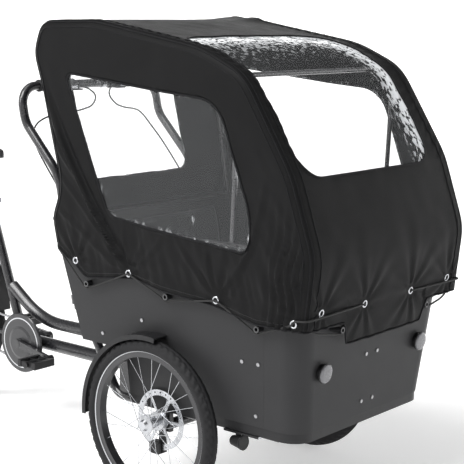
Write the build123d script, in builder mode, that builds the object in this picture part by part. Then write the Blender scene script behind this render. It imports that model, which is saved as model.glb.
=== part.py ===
from build123d import *
import os
from math import cos, hypot, pi, radians, sin, tan

os.makedirs("parts", exist_ok=True)

# A three-wheeled cargo cycle: a box between two front wheels steers under a rain canopy,
# and a single rear wheel is driven. +X is forward, +Y is the rider's left, +Z is up.
# The origin lies on the ground below the middle of the whole machine. All sizes are in mm.

# ---------------------------------------------------------------- driving dimensions
# wheels
front_axle_x = 600.0
wheel_base = 1430.0
front_wheel_r = 250.0
half_track = 371.0
rear_wheel_r = 330.0
front_tyre_section = 22.0
rear_tyre_section = 24.0
tyre_wall = 3.5
rim_width = 27.0
rim_depth = 15.0
rim_wall = 2.5
spoke_r = 0.9
front_spokes = 28
rear_spokes = 36
disc_r = 90.0
disc_thickness = 2.0
disc_y = 329.0
stub_r = 8.5
rear_axle_r = 5.0
running_gap = 0.06

# rear frame
frame_tube_r = 21.0
seat_tube_r = 17.0
seat_bore_r = 14.0
seat_post_r = 13.94
seat_lean = 0.361
crank_x = front_axle_x - 935.0
crank_z = 268.0
spindle_r = 8.0
crank_length = 172.0
crank_fall = -8.0
chain_y = -45.0
chainring_r = 73.0
sprocket_r = 38.0
chain_width = 8.0
guard_r = 106.0
saddle_z = 905.0

# steering
kingpin_x = front_axle_x - 215.0
kingpin_r = 12.0
head_tube_r = 26.0
head_bottom_z = 238.0
head_top_z = 378.0
rail_y = 255.0
rail_z = 262.0
rail_r = 14.0
beam_z = 228.0
beam_r = 16.0

# cargo box
box_floor_z = 298.5
box_rear_z = 437.0
box_rim_z = 800.0
box_half_width = 312.0
side_lean = 0.125
front_lean = 0.098
rear_lean = 0.20
panel = 12.0
corner_r = 65.0
front_face_x = front_axle_x + 489.0
seam_x = front_axle_x + 369.0
step_x = front_axle_x - 140.0
rear_face_x = front_axle_x - 324.0
trim_height = 27.0
trim_wall = 5.0
rim_cap_width = 17.0

# push bar
bar_r = 14.0
bar_x = front_axle_x - 610.0
bar_z = 1188.0
bar_half = 300.0

# canopy
canopy_half = 380.0
canopy_skin = 4.0
hoop_r = 7.0

sides = (("right", -1), ("left", 1))
rear_axle_x = front_axle_x - wheel_base


# ---------------------------------------------------------------- shared geometry
def half_width_at(z):
    """Half the outer width of the box at height z."""
    return box_half_width + side_lean * (z - box_floor_z)


def front_face_at(z):
    """Where the front panel's face stands at height z."""
    return front_face_x + front_lean * (z - box_floor_z)


def rear_face_at(z):
    """Where the rear panel's face stands at height z."""
    return rear_face_x - rear_lean * (z - box_rear_z)


def seat_line_x(z):
    """The seat tube's centre line."""
    return front_axle_x - 1039.0 - seat_lean * (z - 416.0)


def add_tube(points, radius, bends=None, bore=0):
    """Adds a round tube to the piece being built: straight runs joined by tangent bends."""
    with BuildLine() as path:
        if bends is None:
            Line(*points)
        else:
            FilletPolyline(*points, radius=bends)
    with BuildSketch(Plane(origin=path.line @ 0, z_dir=path.line % 0)) as section:
        Circle(radius)
        if bore:
            Circle(bore, mode=Mode.SUBTRACT)
    sweep(section.sketch, path=path.line)


def add_rod(start, end, radius):
    """Adds a straight round rod to the piece being built."""
    run = Vector(*end) - Vector(*start)
    with BuildSketch(Plane(origin=start, z_dir=run)) as section:
        Circle(radius)
    extrude(section.sketch, amount=run.length)


def cut_rod(start, end, radius):
    """Cuts a straight round hole from the piece being built."""
    run = Vector(*end) - Vector(*start)
    with BuildSketch(Plane(origin=start, z_dir=run)) as section:
        Circle(radius)
    extrude(section.sketch, amount=run.length, mode=Mode.SUBTRACT)


def add_block(low, high):
    """Adds a plain block between two corners to the piece being built."""
    middle = [(a + b) / 2 for a, b in zip(low, high)]
    with Locations(tuple(middle)):
        Box(*[b - a for a, b in zip(low, high)])


def add_spokes(x, z, flange_r, flange_ys, rim_r, rim_y, count):
    """Adds the crossed spokes of one wheel, half of them to each hub flange."""
    each = count // 2
    for flange_y in flange_ys:
        outward = 1 if flange_y > rim_y else -1
        for k in range(each):
            turn = 2 * pi * (k + (0.5 if outward > 0 else 0.0)) / each
            lead = (1 if k % 2 else -1) * radians(62)
            offset = 2.6 if k % 2 else -2.6
            start = (x + flange_r * cos(turn + lead), flange_y + offset, z + flange_r * sin(turn + lead))
            end = (x + rim_r * cos(turn), rim_y + outward * 4 + offset, z + rim_r * sin(turn))
            add_rod(start, end, spoke_r)


def bend_radii(points):
    """The largest tangent bends that a free cable's runs allow."""
    radii = []
    for a, b, c in zip(points, points[1:], points[2:]):
        first = Vector(*b) - Vector(*a)
        second = Vector(*c) - Vector(*b)
        turn = radians(first.get_angle(second))
        radii.append(0.45 * min(first.length, second.length) / tan(turn / 2))
    return radii


# ---------------------------------------------------------------- front wheels
bead_r = front_wheel_r - 2 * front_tyre_section + 5.0
for side, s in sides:
    axle = (front_axle_x, s * half_track, front_wheel_r)
    wheel_plane = Plane(origin=axle, x_dir=(0, 1, 0), z_dir=(1, 0, 0))
    wheel_axis = Axis(axle, (0, 1, 0))

    with BuildPart() as tyre:
        with BuildSketch(wheel_plane):
            with Locations((0, front_wheel_r - front_tyre_section)):
                Circle(front_tyre_section)
                Circle(front_tyre_section - tyre_wall, mode=Mode.SUBTRACT)
            with Locations((0, bead_r - 20)):
                Rectangle(80, 40, mode=Mode.SUBTRACT)
        revolve(axis=wheel_axis)
    tyre.part.label = f"tyre_front_{side}"
    export_step(tyre.part, f"parts/tyre_front_{side}.step")

    with BuildPart() as rim:
        with BuildSketch(wheel_plane):
            with Locations((0, bead_r - 0.3 - rim_depth / 2)):
                Rectangle(rim_width, rim_depth)
            with Locations((0, bead_r - 0.3 - (rim_depth - rim_wall) / 2)):
                Rectangle(rim_width - 2 * rim_wall, rim_depth - rim_wall, mode=Mode.SUBTRACT)
        revolve(axis=wheel_axis)
    rim.part.label = f"rim_front_{side}"
    export_step(rim.part, f"parts/rim_front_{side}.step")

    with BuildPart() as hub:
        with BuildSketch(wheel_plane):
            with BuildLine():
                Polyline(
                    (s * -33, stub_r + running_gap),
                    (s * -33, 22),
                    (s * -40.5, 22),
                    (s * -40.5, stub_r + running_gap),
                    close=True,
                )
            make_face()
            with BuildLine():
                Polyline(
                    (s * -33, stub_r + running_gap),
                    (s * -33, 17),
                    (s * -27, 28),
                    (s * -24, 28),
                    (s * -20, 16),
                    (s * 16, 16),
                    (s * 20, 28),
                    (s * 23, 28),
                    (s * 27, 17),
                    (s * 32, 14),
                    (s * 35.5, 12),
                    (s * 35.5, 0),
                    (s * 31, 0),
                    (s * 31, stub_r + running_gap),
                    close=True,
                )
            make_face()
        revolve(axis=wheel_axis)
        spoke_flanges = (s * (half_track - 25.5), s * (half_track + 21.5))
        add_spokes(*axle[::2], 28.4, spoke_flanges, bead_r - rim_depth - 0.8, s * half_track, front_spokes)
        disc_plane = Plane(origin=(front_axle_x, s * disc_y, front_wheel_r), x_dir=(1, 0, 0), z_dir=(0, 1, 0))
        with BuildSketch(disc_plane) as disc:
            Circle(disc_r)
            Circle(disc_r - 17, mode=Mode.SUBTRACT)
            with PolarLocations(disc_r - 8, 24):
                Circle(2.6, mode=Mode.SUBTRACT)
            with PolarLocations((disc_r - 15 + 22) / 2, 6):
                Rectangle(disc_r - 15 - 22, 9)
            Circle(29)
            Circle(stub_r + 1.5, mode=Mode.SUBTRACT)
        extrude(disc.sketch, amount=disc_thickness / 2, both=True)
    hub.part.label = f"hub_front_{side}"
    export_step(hub.part, f"parts/hub_front_{side}.step")

# ---------------------------------------------------------------- front axle and chassis
with BuildPart() as stub_axles:
    for side, s in sides:
        add_rod((front_axle_x, s * 312, front_wheel_r), (front_axle_x, s * 401, front_wheel_r), stub_r)
stub_axles.part.label = "stub_axles"
export_step(stub_axles.part, "parts/stub_axles.step")

with BuildPart() as axle_beam:
    add_rod((front_axle_x, -308, beam_z), (front_axle_x, 308, beam_z), beam_r)
    for side, s in sides:
        add_block(
            (front_axle_x - 20, min(s * 296, s * 311.5), beam_z - beam_r),
            (front_axle_x + 20, max(s * 296, s * 311.5), front_wheel_r + 18),
        )
    add_block((kingpin_x - 34, -36, head_bottom_z - 14), (front_axle_x, 36, head_bottom_z - 4))
    cut_rod((kingpin_x, 0, 200), (kingpin_x, 0, 260), kingpin_r + 0.2)
axle_beam.part.label = "axle_beam"
export_step(axle_beam.part, "parts/axle_beam.step")

with BuildPart() as chassis_rails:
    for side, s in sides:
        add_tube(
            [
                (front_axle_x - 352, s * rail_y, box_rear_z - 4),
                (front_axle_x - 252, s * rail_y, rail_z),
                (front_axle_x + 380, s * rail_y, rail_z),
            ],
            rail_r,
            bends=60,
        )
        add_block(
            (kingpin_x - 22, min(s * 250, s * 260), rail_z),
            (kingpin_x + 22, max(s * 250, s * 260), box_rear_z - 0.3),
        )
        for pad_x in (front_axle_x - 60, front_axle_x + 330):
            add_block(
                (pad_x - 18, min(s * 248, s * 262), rail_z),
                (pad_x + 18, max(s * 248, s * 262), box_floor_z - 0.3),
            )
    add_rod((kingpin_x, -rail_y, 400), (kingpin_x, rail_y, 400), 16)
    cut_rod((kingpin_x, 0, 370), (kingpin_x, 0, 430), kingpin_r + 0.2)
chassis_rails.part.label = "chassis_rails"
export_step(chassis_rails.part, "parts/chassis_rails.step")

with BuildPart() as kingpin:
    add_rod((kingpin_x, 0, 216), (kingpin_x, 0, 424), kingpin_r)
    add_rod((kingpin_x, 0, 417), (kingpin_x, 0, 428), 20)
    add_rod((kingpin_x, 0, 212), (kingpin_x, 0, 223.5), 18)
kingpin.part.label = "kingpin"
export_step(kingpin.part, "parts/kingpin.step")

with BuildPart() as brake_calipers:
    for side, s in sides:
        for low_y, high_y in ((308.0, 326.5), (331.5, 340.0)):
            add_block(
                (front_axle_x - 36, min(s * low_y, s * high_y), front_wheel_r - 101),
                (front_axle_x + 5, max(s * low_y, s * high_y), front_wheel_r - 70),
            )
        add_block(
            (front_axle_x - 30, min(s * 312, s * 338), front_wheel_r - 104),
            (front_axle_x - 1, max(s * 312, s * 338), front_wheel_r - 93),
        )
        add_block(
            (front_axle_x - 16, min(s * 312.5, s * 320), front_wheel_r - 80),
            (front_axle_x + 8, max(s * 312.5, s * 320), front_wheel_r - 9.5),
        )
brake_calipers.part.label = "brake_calipers"
export_step(brake_calipers.part, "parts/brake_calipers.step")

# ---------------------------------------------------------------- cargo box
slope = hypot(1, side_lean)
for side, s in sides:
    side_plane = Plane(
        origin=(0, s * box_half_width, box_floor_z),
        x_dir=(-s, 0, 0),
        z_dir=(0, s, -side_lean),
    )
    side_outline = [
        (step_x, box_floor_z),
        (step_x, box_rear_z),
        (rear_face_x, box_rear_z),
        (rear_face_at(box_rim_z), box_rim_z),
        (seam_x + front_lean * (box_rim_z - box_floor_z), box_rim_z),
        (seam_x, box_floor_z),
    ]
    with BuildPart() as box_side:
        with BuildSketch(side_plane):
            with BuildLine():
                Polyline(*[(-s * x, (z - box_floor_z) * slope) for x, z in side_outline], close=True)
            make_face()
        extrude(amount=-panel)
    box_side.part.label = f"box_side_{side}"
    export_step(box_side.part, f"parts/box_side_{side}.step")

with BuildPart() as box_front:
    for z in (box_floor_z, box_rim_z):
        back_x = seam_x + 0.3 + front_lean * (z - box_floor_z)
        depth = front_face_at(z) - back_x
        with BuildSketch(Plane.XY.offset(z)):
            with Locations((back_x + depth / 2, 0)):
                Rectangle(depth, 2 * half_width_at(z))
    loft()
    fillet(box_front.edges().filter_by(Axis.Y, reverse=True).sort_by(Axis.X)[-2:], corner_r)
    for z in (box_floor_z - 0.01, box_rim_z + 0.01):
        back_x = seam_x - 1 + front_lean * (z - box_floor_z)
        depth = front_face_at(z) - panel - back_x
        with BuildSketch(Plane.XY.offset(z)) as hollow:
            with Locations((back_x + depth / 2, 0)):
                Rectangle(depth, 2 * (half_width_at(z) - panel))
            fillet(hollow.vertices().group_by(Axis.X)[-1], corner_r - panel)
    loft(mode=Mode.SUBTRACT)
box_front.part.label = "box_front"
export_step(box_front.part, "parts/box_front.step")

with BuildPart() as box_rear:
    for z in (box_rear_z, box_rim_z):
        with BuildSketch(Plane.XY.offset(z)):
            with Locations((rear_face_at(z) + panel / 2, 0)):
                Rectangle(panel, 2 * (half_width_at(z) - panel - 0.3))
    loft()
box_rear.part.label = "box_rear"
export_step(box_rear.part, "parts/box_rear.step")

with BuildPart() as floor_boards:
    inner = half_width_at(box_rear_z) - panel - 0.6
    add_block((rear_face_x + panel + 0.3, -inner, box_rear_z), (step_x + panel, inner, box_rear_z + panel))
    foot = box_half_width - panel - 0.6
    add_block((step_x, -foot, box_floor_z), (step_x + panel, foot, box_rear_z - 0.05))
    footwell_back = step_x + panel + 0.3
    footwell_front = front_face_x - panel - 0.6
    with BuildSketch(Plane.XY.offset(box_floor_z)) as footwell:
        with Locations(((footwell_back + footwell_front) / 2, 0)):
            Rectangle(footwell_front - footwell_back, 2 * foot)
        fillet(footwell.vertices().group_by(Axis.X)[-1], corner_r - panel)
    extrude(amount=panel - 0.05)
floor_boards.part.label = "floor_boards"
export_step(floor_boards.part, "parts/floor_boards.step")

with BuildPart() as edge_trims:
    for inset, back_x, mode in ((3, step_x, Mode.ADD), (3 + trim_wall, step_x - 1, Mode.SUBTRACT)):
        with BuildSketch(Plane.XY.offset(box_floor_z - trim_height)) as base:
            with Locations(((back_x + front_face_x - inset) / 2, 0)):
                Rectangle(front_face_x - inset - back_x, 2 * (box_half_width - inset))
            fillet(base.vertices().group_by(Axis.X)[-1], corner_r - inset)
        extrude(amount=trim_height - 0.3, mode=mode)
    rim_back = rear_face_at(box_rim_z) - 1
    rim_front = front_face_at(box_rim_z) + 2
    rim_half = half_width_at(box_rim_z) + 0.8
    with BuildSketch(Plane.XY.offset(box_rim_z + 1.9)) as cap:
        with Locations(((rim_back + rim_front) / 2, 0)):
            Rectangle(rim_front - rim_back, 2 * rim_half)
        fillet(cap.vertices().group_by(Axis.X)[-1], corner_r)
        offset(amount=-rim_cap_width, mode=Mode.SUBTRACT)
    extrude(amount=8)
edge_trims.part.label = "edge_trims"
export_step(edge_trims.part, "parts/edge_trims.step")

# mudguards over the front wheels
guard_outer = front_wheel_r + 13.0
guard_width = 54.0
guard_shift = 3.5
with BuildPart() as front_fenders:
    for side, s in sides:
        start_angle, arc = radians(82), 102
        plane = Plane(
            origin=(front_axle_x, s * half_track, front_wheel_r),
            x_dir=(0, 1, 0),
            z_dir=(sin(start_angle), 0, -cos(start_angle)),
        )
        with BuildSketch(plane):
            with Locations((-s * guard_shift, guard_outer - 2)):
                Rectangle(guard_width, 4)
            for edge in (-1, 1):
                with Locations((edge * (guard_width - 3) / 2 - s * guard_shift, guard_outer - 8)):
                    Rectangle(3, 12)
        revolve(axis=Axis((front_axle_x, 0, front_wheel_r), (0, -1, 0)), revolution_arc=arc)
front_fenders.part.label = "front_fenders"
export_step(front_fenders.part, "parts/front_fenders.step")

# ---------------------------------------------------------------- small pieces on the box
front_normal = Vector(1, 0, -front_lean).normalized()
with BuildPart() as reflectors:
    for s in (-1, 1):
        seat = Vector(front_face_at(467), s * 235, 467) + front_normal * 0.2
        add_rod(tuple(seat), tuple(seat + front_normal * 12), 21)
        add_rod(tuple(seat + front_normal * 12.2), tuple(seat + front_normal * 20), 28)
reflectors.part.label = "reflectors"
export_step(reflectors.part, "parts/reflectors.step")

lamp_x = front_axle_x + 290
lamp_y = -300
lamp_z = 238
with BuildPart() as headlight:
    with BuildSketch(Plane(origin=(lamp_x, lamp_y, lamp_z), x_dir=(0, 1, 0), z_dir=(0, 0, 1))):
        with BuildLine():
            Polyline((0, 44), (10, 44), (14, 40), (20, 6), (21.5, 4), (21.5, -2), (19, -2), (18, 4), (0, 4), close=True)
        make_face()
    revolve(axis=Axis((lamp_x, lamp_y, lamp_z), (1, 0, 0)))
    add_block((lamp_x - 26, lamp_y - 4, lamp_z + 12), (lamp_x - 12, lamp_y + 4, lamp_z + 30))
    add_block((lamp_x - 62, lamp_y - 14, lamp_z + 27), (lamp_x + 64, lamp_y + 10, lamp_z + 33))
    add_rod((lamp_x - 3.7, lamp_y, lamp_z), (lamp_x + 1.5, lamp_y, lamp_z), 17.7)
headlight.part.label = "headlight"
export_step(headlight.part, "parts/headlight.step")

side_pegs = [(front_axle_x - 259, 624), (front_axle_x + 62, 631), (front_axle_x + 388, 590)]
front_peg_y = 209.0
front_peg_z = 586.0
peg_length = 22.0
with BuildPart() as cord_pegs:
    for s in (-1, 1):
        for x, z in side_pegs:
            root = (x, s * (half_width_at(z) + 1.4), z)
            tip = (x, s * (half_width_at(z) + peg_length), z)
            add_rod(root, tip, 9)
            cut_rod((x, s * (half_width_at(z) + 6), z), tip, 5)
        face = front_face_at(front_peg_z)
        add_rod((face + 0.9, s * front_peg_y, front_peg_z), (face + 38, s * front_peg_y, front_peg_z), 9)
        cut_rod((face + 20, s * front_peg_y, front_peg_z), (face + 38, s * front_peg_y, front_peg_z), 5)
cord_pegs.part.label = "cord_pegs"
export_step(cord_pegs.part, "parts/cord_pegs.step")

side_screws = [(312, 483), (369, 484), (347, 331), (-231, 472), (-231, 660), (-60, 540)]
with BuildPart() as panel_screws:
    for s in (-1, 1):
        outward = Vector(0, s, -side_lean).normalized()
        for dx, z in side_screws:
            seat = Vector(front_axle_x + dx, s * half_width_at(z), z) + outward * 0.1
            add_rod(tuple(seat), tuple(seat + outward * 2.6), 5.5)
        for z in (337, 477):
            seat = Vector(front_face_at(z), s * 27, z) + front_normal * 0.1
            add_rod(tuple(seat), tuple(seat + front_normal * 2.6), 5.5)
panel_screws.part.label = "panel_screws"
export_step(panel_screws.part, "parts/panel_screws.step")

# ---------------------------------------------------------------- bench in the box
bench_z = 560.0
with BuildPart() as bench_board:
    bench_half = half_width_at(bench_z) - panel - 3
    add_block(
        (rear_face_at(bench_z) + panel + 3, -bench_half, bench_z),
        (front_axle_x - 40, bench_half, bench_z + 12),
    )
    riser_half = half_width_at(box_rear_z + panel) - panel - 3
    add_block((front_axle_x - 140, -riser_half, box_rear_z + panel + 0.3), (front_axle_x - 128, riser_half, bench_z))
bench_board.part.label = "bench_board"
export_step(bench_board.part, "parts/bench_board.step")

with BuildPart() as bench_cushions:
    cushion_half = bench_half - 4
    add_block(
        (rear_face_at(bench_z + 50) + panel + 44, -cushion_half, bench_z + 12.5),
        (front_axle_x - 34, cushion_half, bench_z + 54),
    )
    fillet(bench_cushions.edges().group_by(Axis.Z)[-1], 16)
    for z in (bench_z + 14, box_rim_z - 8):
        with BuildSketch(Plane.XY.offset(z)):
            with Locations((rear_face_at(z) + panel + 21, 0)):
                Rectangle(36, 2 * cushion_half - 20)
    loft()
bench_cushions.part.label = "bench_cushions"
export_step(bench_cushions.part, "parts/bench_cushions.step")

# ---------------------------------------------------------------- push bar and its controls
leg_gap = 30.0
leg_low = (rear_face_at(520) - leg_gap, 520)
leg_rim = (rear_face_at(925) - leg_gap, 925)
leg_knee = (front_axle_x - 602, 1078)
with BuildPart() as handlebar:
    ends = []
    for s in (-1, 1):
        ends.append(
            [
                (leg_low[0], s * bar_half, leg_low[1]),
                (leg_rim[0], s * bar_half, leg_rim[1]),
                (leg_knee[0], s * bar_half, leg_knee[1]),
                (bar_x - 14, s * bar_half, bar_z),
            ]
        )
    add_tube(ends[0] + ends[1][::-1], bar_r, bends=[160, 90, 62, 62, 90, 160], bore=bar_r - 2.5)
handlebar.part.label = "handlebar"
export_step(handlebar.part, "parts/handlebar.step")
bar_axis_x = bar_x - 14

with BuildPart() as bar_brackets:
    for s in (-1, 1):
        for z in (550, 655):
            centre_x = rear_face_at(z) - leg_gap
            add_block(
                (centre_x, s * bar_half - 20, z - 14),
                (rear_face_at(z + 14) - 0.2, s * bar_half + 20, z + 14),
            )
            lean = Vector(-rear_lean, 0, 1).normalized()
            middle = Vector(centre_x, s * bar_half, z)
            add_rod(tuple(middle - lean * 14), tuple(middle + lean * 14), bar_r + 5)
        cut_rod(
            (rear_face_at(480) - leg_gap, s * bar_half, 480),
            (rear_face_at(760) - leg_gap, s * bar_half, 760),
            bar_r + 0.1,
        )
bar_brackets.part.label = "bar_brackets"
export_step(bar_brackets.part, "parts/bar_brackets.step")

grip_in, grip_out = 130.0, 228.0
with BuildPart() as grips:
    for s in (-1, 1):
        add_rod((bar_axis_x, s * grip_in, bar_z), (bar_axis_x, s * grip_out, bar_z), 17)
        cut_rod((bar_axis_x, s * (grip_in - 1), bar_z), (bar_axis_x, s * (grip_out + 1), bar_z), bar_r + 0.1)
grips.part.label = "grips"
export_step(grips.part, "parts/grips.step")

mount_in, mount_out = 80.0, 102.0
lever_x = bar_axis_x + 40
lever_pivot_y = 104.0
lever_z = bar_z - 6
with BuildPart() as lever_mounts:
    for s in (-1, 1):
        add_rod((bar_axis_x, s * mount_in, bar_z), (bar_axis_x, s * mount_out, bar_z), 18.5)
        add_block(
            (bar_axis_x, min(s * mount_in, s * mount_out), lever_z - 8),
            (lever_x - 8, max(s * mount_in, s * mount_out), lever_z + 8),
        )
        for low_z, high_z in ((lever_z - 11, lever_z - 6), (lever_z + 6, lever_z + 11)):
            add_block(
                (lever_x - 16, min(s * mount_in, s * 114), low_z),
                (lever_x + 8, max(s * mount_in, s * 114), high_z),
            )
        add_rod((lever_x, s * lever_pivot_y, lever_z - 11), (lever_x, s * lever_pivot_y, lever_z + 11), 2.5)
        cut_rod((bar_axis_x, s * (mount_in - 1), bar_z), (bar_axis_x, s * (mount_out + 1), bar_z), bar_r + 0.1)
lever_mounts.part.label = "lever_mounts"
export_step(lever_mounts.part, "parts/lever_mounts.step")

for side, s in sides:
    with BuildPart() as brake_lever:
        add_rod((lever_x, s * lever_pivot_y, lever_z - 5.7), (lever_x, s * lever_pivot_y, lever_z + 5.7), 7)
        add_tube(
            [
                (lever_x, s * lever_pivot_y, lever_z),
                (lever_x + 12, s * (lever_pivot_y + 34), lever_z),
                (lever_x + 8, s * (lever_pivot_y + 112), lever_z - 4),
            ],
            5.2,
            bends=40,
        )
        cut_rod(
            (lever_x, s * lever_pivot_y, lever_z - 12),
            (lever_x, s * lever_pivot_y, lever_z + 12),
            2.5 + running_gap,
        )
    brake_lever.part.label = f"brake_lever_{side}"
    export_step(brake_lever.part, f"parts/brake_lever_{side}.step")

with BuildPart() as twist_shifter:
    add_rod((bar_axis_x, -104, bar_z), (bar_axis_x, -128, bar_z), 19)
    cut_rod((bar_axis_x, -103, bar_z), (bar_axis_x, -129, bar_z), bar_r + running_gap)
twist_shifter.part.label = "twist_shifter"
export_step(twist_shifter.part, "parts/twist_shifter.step")

bell_y = 52.0
with BuildPart() as bell:
    add_rod((bar_axis_x, bell_y - 8, bar_z), (bar_axis_x, bell_y + 8, bar_z), 17)
    add_rod((bar_axis_x, bell_y, bar_z + 14), (bar_axis_x, bell_y, bar_z + 22), 8)
    add_block((bar_axis_x - 31, bell_y - 10, bar_z + 15.5), (bar_axis_x - 4, bell_y - 2, bar_z + 19.7))
    with BuildSketch(Plane(origin=(bar_axis_x, bell_y, bar_z + 20), x_dir=(1, 0, 0), z_dir=(0, -1, 0))):
        with BuildLine():
            Polyline((0, 0), (22, 0), (22, 4), (16, 14), (6, 18), (0, 18.5), close=True)
        make_face()
    revolve(axis=Axis((bar_axis_x, bell_y, bar_z), (0, 0, 1)))
    cut_rod((bar_axis_x, bell_y - 9, bar_z), (bar_axis_x, bell_y + 9, bar_z), bar_r + 0.1)
bell.part.label = "bell"
export_step(bell.part, "parts/bell.step")

with BuildPart() as bell_lever:
    add_rod((bar_axis_x - 27, bell_y - 6, bar_z + 19.8), (bar_axis_x - 27, bell_y - 6, bar_z + 32), 4)
    add_rod((bar_axis_x - 27, bell_y - 6, bar_z + 28), (bar_axis_x - 46, bell_y + 4, bar_z + 28), 3)
bell_lever.part.label = "bell_lever"
export_step(bell_lever.part, "parts/bell_lever.step")

# Hydraulic hoses run from the levers along the legs to the box.
hose_r = 2.6
with BuildPart() as brake_cables:
    for s in (-1, 1):
        route = [
            (lever_x - 4, s * 79.6, lever_z),
            (lever_x + 2, s * 50, lever_z - 6),
            (lever_x + 16, s * 26, lever_z - 30),
            (lever_x + 24, s * 52, lever_z - 62),
            (lever_x + 14, s * 104, lever_z - 76),
            (lever_x - 2, s * 158, lever_z - 82),
            (lever_x - 24, s * 208, lever_z - 92),
            (lever_x - 34, s * 244, lever_z - 112),
            (lever_x - 24, s * 268, lever_z - 146),
            (lever_x + 12, s * 279, lever_z - 190),
            (lever_x + 52, s * 281, lever_z - 236),
            (lever_x + 92, s * 281, lever_z - 282),
            (lever_x + 132, s * 280, lever_z - 330),
            (lever_x + 150, s * 272, lever_z - 376),
            (rear_face_at(760) - 24, s * 266, 760),
            (rear_face_at(710) - 25, s * 263, 710),
            (rear_face_at(662) - 22, s * 262, 662),
            (rear_face_at(626) - 12, s * 262, 626),
            (rear_face_at(612) - 3.4, s * 262, 612),
        ]
        add_tube(route, hose_r, bends=bend_radii(route))
brake_cables.part.label = "brake_cables"
export_step(brake_cables.part, "parts/brake_cables.step")

# ---------------------------------------------------------------- canopy
# The canopy's side outline, from its rear hem over the roof to its front hem.
rear_hem = (front_axle_x - 388, 728)
rear_rim = (front_axle_x - 407, 812)
rear_waist = (front_axle_x - 366, 905)
rear_upper = (front_axle_x - 440, 1190)
rear_top = (front_axle_x - 478, 1300)
rear_crest = (front_axle_x - 440, 1394)
roof_join = (front_axle_x - 330, 1397)
roof_rear = (front_axle_x - 214, 1398)
roof_front = (front_axle_x + 190, 1330)
brow = (front_axle_x + 345, 1262)
windscreen = (front_axle_x + 505, 1010)
nose = (front_axle_x + 576, 800)
front_hem = (front_axle_x + 545, 543)
corner_hem_z = 606.0
rear_line = [rear_hem, rear_rim, rear_waist, rear_upper, rear_top, rear_crest, roof_join]
rear_radii = [60, 150, 300, 60, 45]
roof_start = (front_axle_x - 329, 1397)
roof_points = [roof_start, roof_rear, roof_front, brow, windscreen, nose, front_hem]
roof_radii = [300, 400, 170, 300, 160]
front_slope = (nose[0] - front_hem[0]) / (nose[1] - front_hem[1])
front_out = Vector(1, 0, -front_slope).normalized()


def front_skin_x(z):
    """Where the canopy's front flap stands at height z."""
    return front_hem[0] + front_slope * (z - front_hem[1])


# The hem dips to each peg and rises between them.
side_hem = [
    (front_skin_x(corner_hem_z), corner_hem_z),
    (front_axle_x + 395, 606),
    (front_axle_x + 250, 632),
    (front_axle_x + 62, 648),
    (front_axle_x - 60, 667),
    (front_axle_x - 245, 646),
    (front_axle_x - 345, 704),
]
flap_bottom = 180.0
flap_top = 200.0

with BuildPart() as canopy_hoops:
    for foot_x, top_x, top_z in ((-338, -428, 1366), (296, 318, 1256)):
        add_tube(
            [
                (front_axle_x + foot_x, -362, box_rim_z + 12),
                (front_axle_x + top_x, -362, top_z),
                (front_axle_x + top_x, 362, top_z),
                (front_axle_x + foot_x, 362, box_rim_z + 12),
            ],
            hoop_r,
            bends=60,
        )
canopy_hoops.part.label = "canopy_hoops"
export_step(canopy_hoops.part, "parts/canopy_hoops.step")

skin_half = canopy_half - canopy_skin - 0.4
film = 1.0
window_trim = 0.3
roof_window_w, roof_window_h, roof_window_y = 610.0, 575.0, -22.0
rear_window_w, rear_window_h, rear_window_y, rear_window_z = 440.0, 310.0, -30.0, 1072.0
roof_window_plane = Plane(
    origin=(front_axle_x + 288, roof_window_y, 1175),
    x_dir=(0, 1, 0),
    z_dir=(362, 0, 447),
)
rear_window_plane = Plane(
    origin=(front_axle_x - 400, rear_window_y, rear_window_z),
    x_dir=(0, 1, 0),
    z_dir=(-1, 0, -0.25),
)
side_window = [
    (front_axle_x - 338, 1246),
    (front_axle_x - 158, 838),
    (front_axle_x + 20, 818),
    (front_axle_x + 378, 786),
    (front_axle_x + 372, 900),
    (front_axle_x + 262, 1190),
    (front_axle_x + 60, 1206),
]
side_window_radii = [22, 60, 0, 40, 200, 110, 0]


def sweep_skin(points, radii, half, thickness):
    """Sweeps a sheet of the given half width along a side outline."""
    with BuildLine(Plane.XZ) as outline:
        FilletPolyline(*points, radius=radii)
    with BuildSketch(Plane(origin=outline.line @ 0, x_dir=(0, 1, 0), z_dir=outline.line % 0)) as section:
        Rectangle(2 * half, thickness)
    sweep(section.sketch, path=outline.line)


def window_block(plane, width, height, corner, mode):
    """Cuts or keeps what lies inside a rounded window that looks along the plane's normal."""
    with BuildSketch(plane) as window:
        RectangleRounded(width, height, corner)
    extrude(window.sketch, amount=160, both=True, mode=mode)


with BuildPart() as canopy_roof:
    sweep_skin(roof_points, roof_radii, skin_half, canopy_skin)
    window_block(roof_window_plane, roof_window_w, roof_window_h, 70, Mode.SUBTRACT)
    for s in (-1, 1):
        with BuildSketch(Plane(origin=(front_hem[0], 0, 0), x_dir=(0, 1, 0), z_dir=(1, 0, 0))) as corner:
            with BuildLine():
                Polyline(
                    (s * flap_bottom, front_hem[1] - 5),
                    (s * flap_top, corner_hem_z),
                    (s * (canopy_half + 5), corner_hem_z),
                    (s * (canopy_half + 5), front_hem[1] - 5),
                    close=True,
                )
            make_face()
        extrude(corner.sketch, amount=30, both=True, mode=Mode.SUBTRACT)
canopy_roof.part.label = "canopy_roof"
export_step(canopy_roof.part, "parts/canopy_roof.step")

with BuildPart() as canopy_rear:
    sweep_skin(rear_line, rear_radii, skin_half, canopy_skin)
    window_block(rear_window_plane, rear_window_w, rear_window_h, 30, Mode.SUBTRACT)
canopy_rear.part.label = "canopy_rear"
export_step(canopy_rear.part, "parts/canopy_rear.step")

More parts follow.
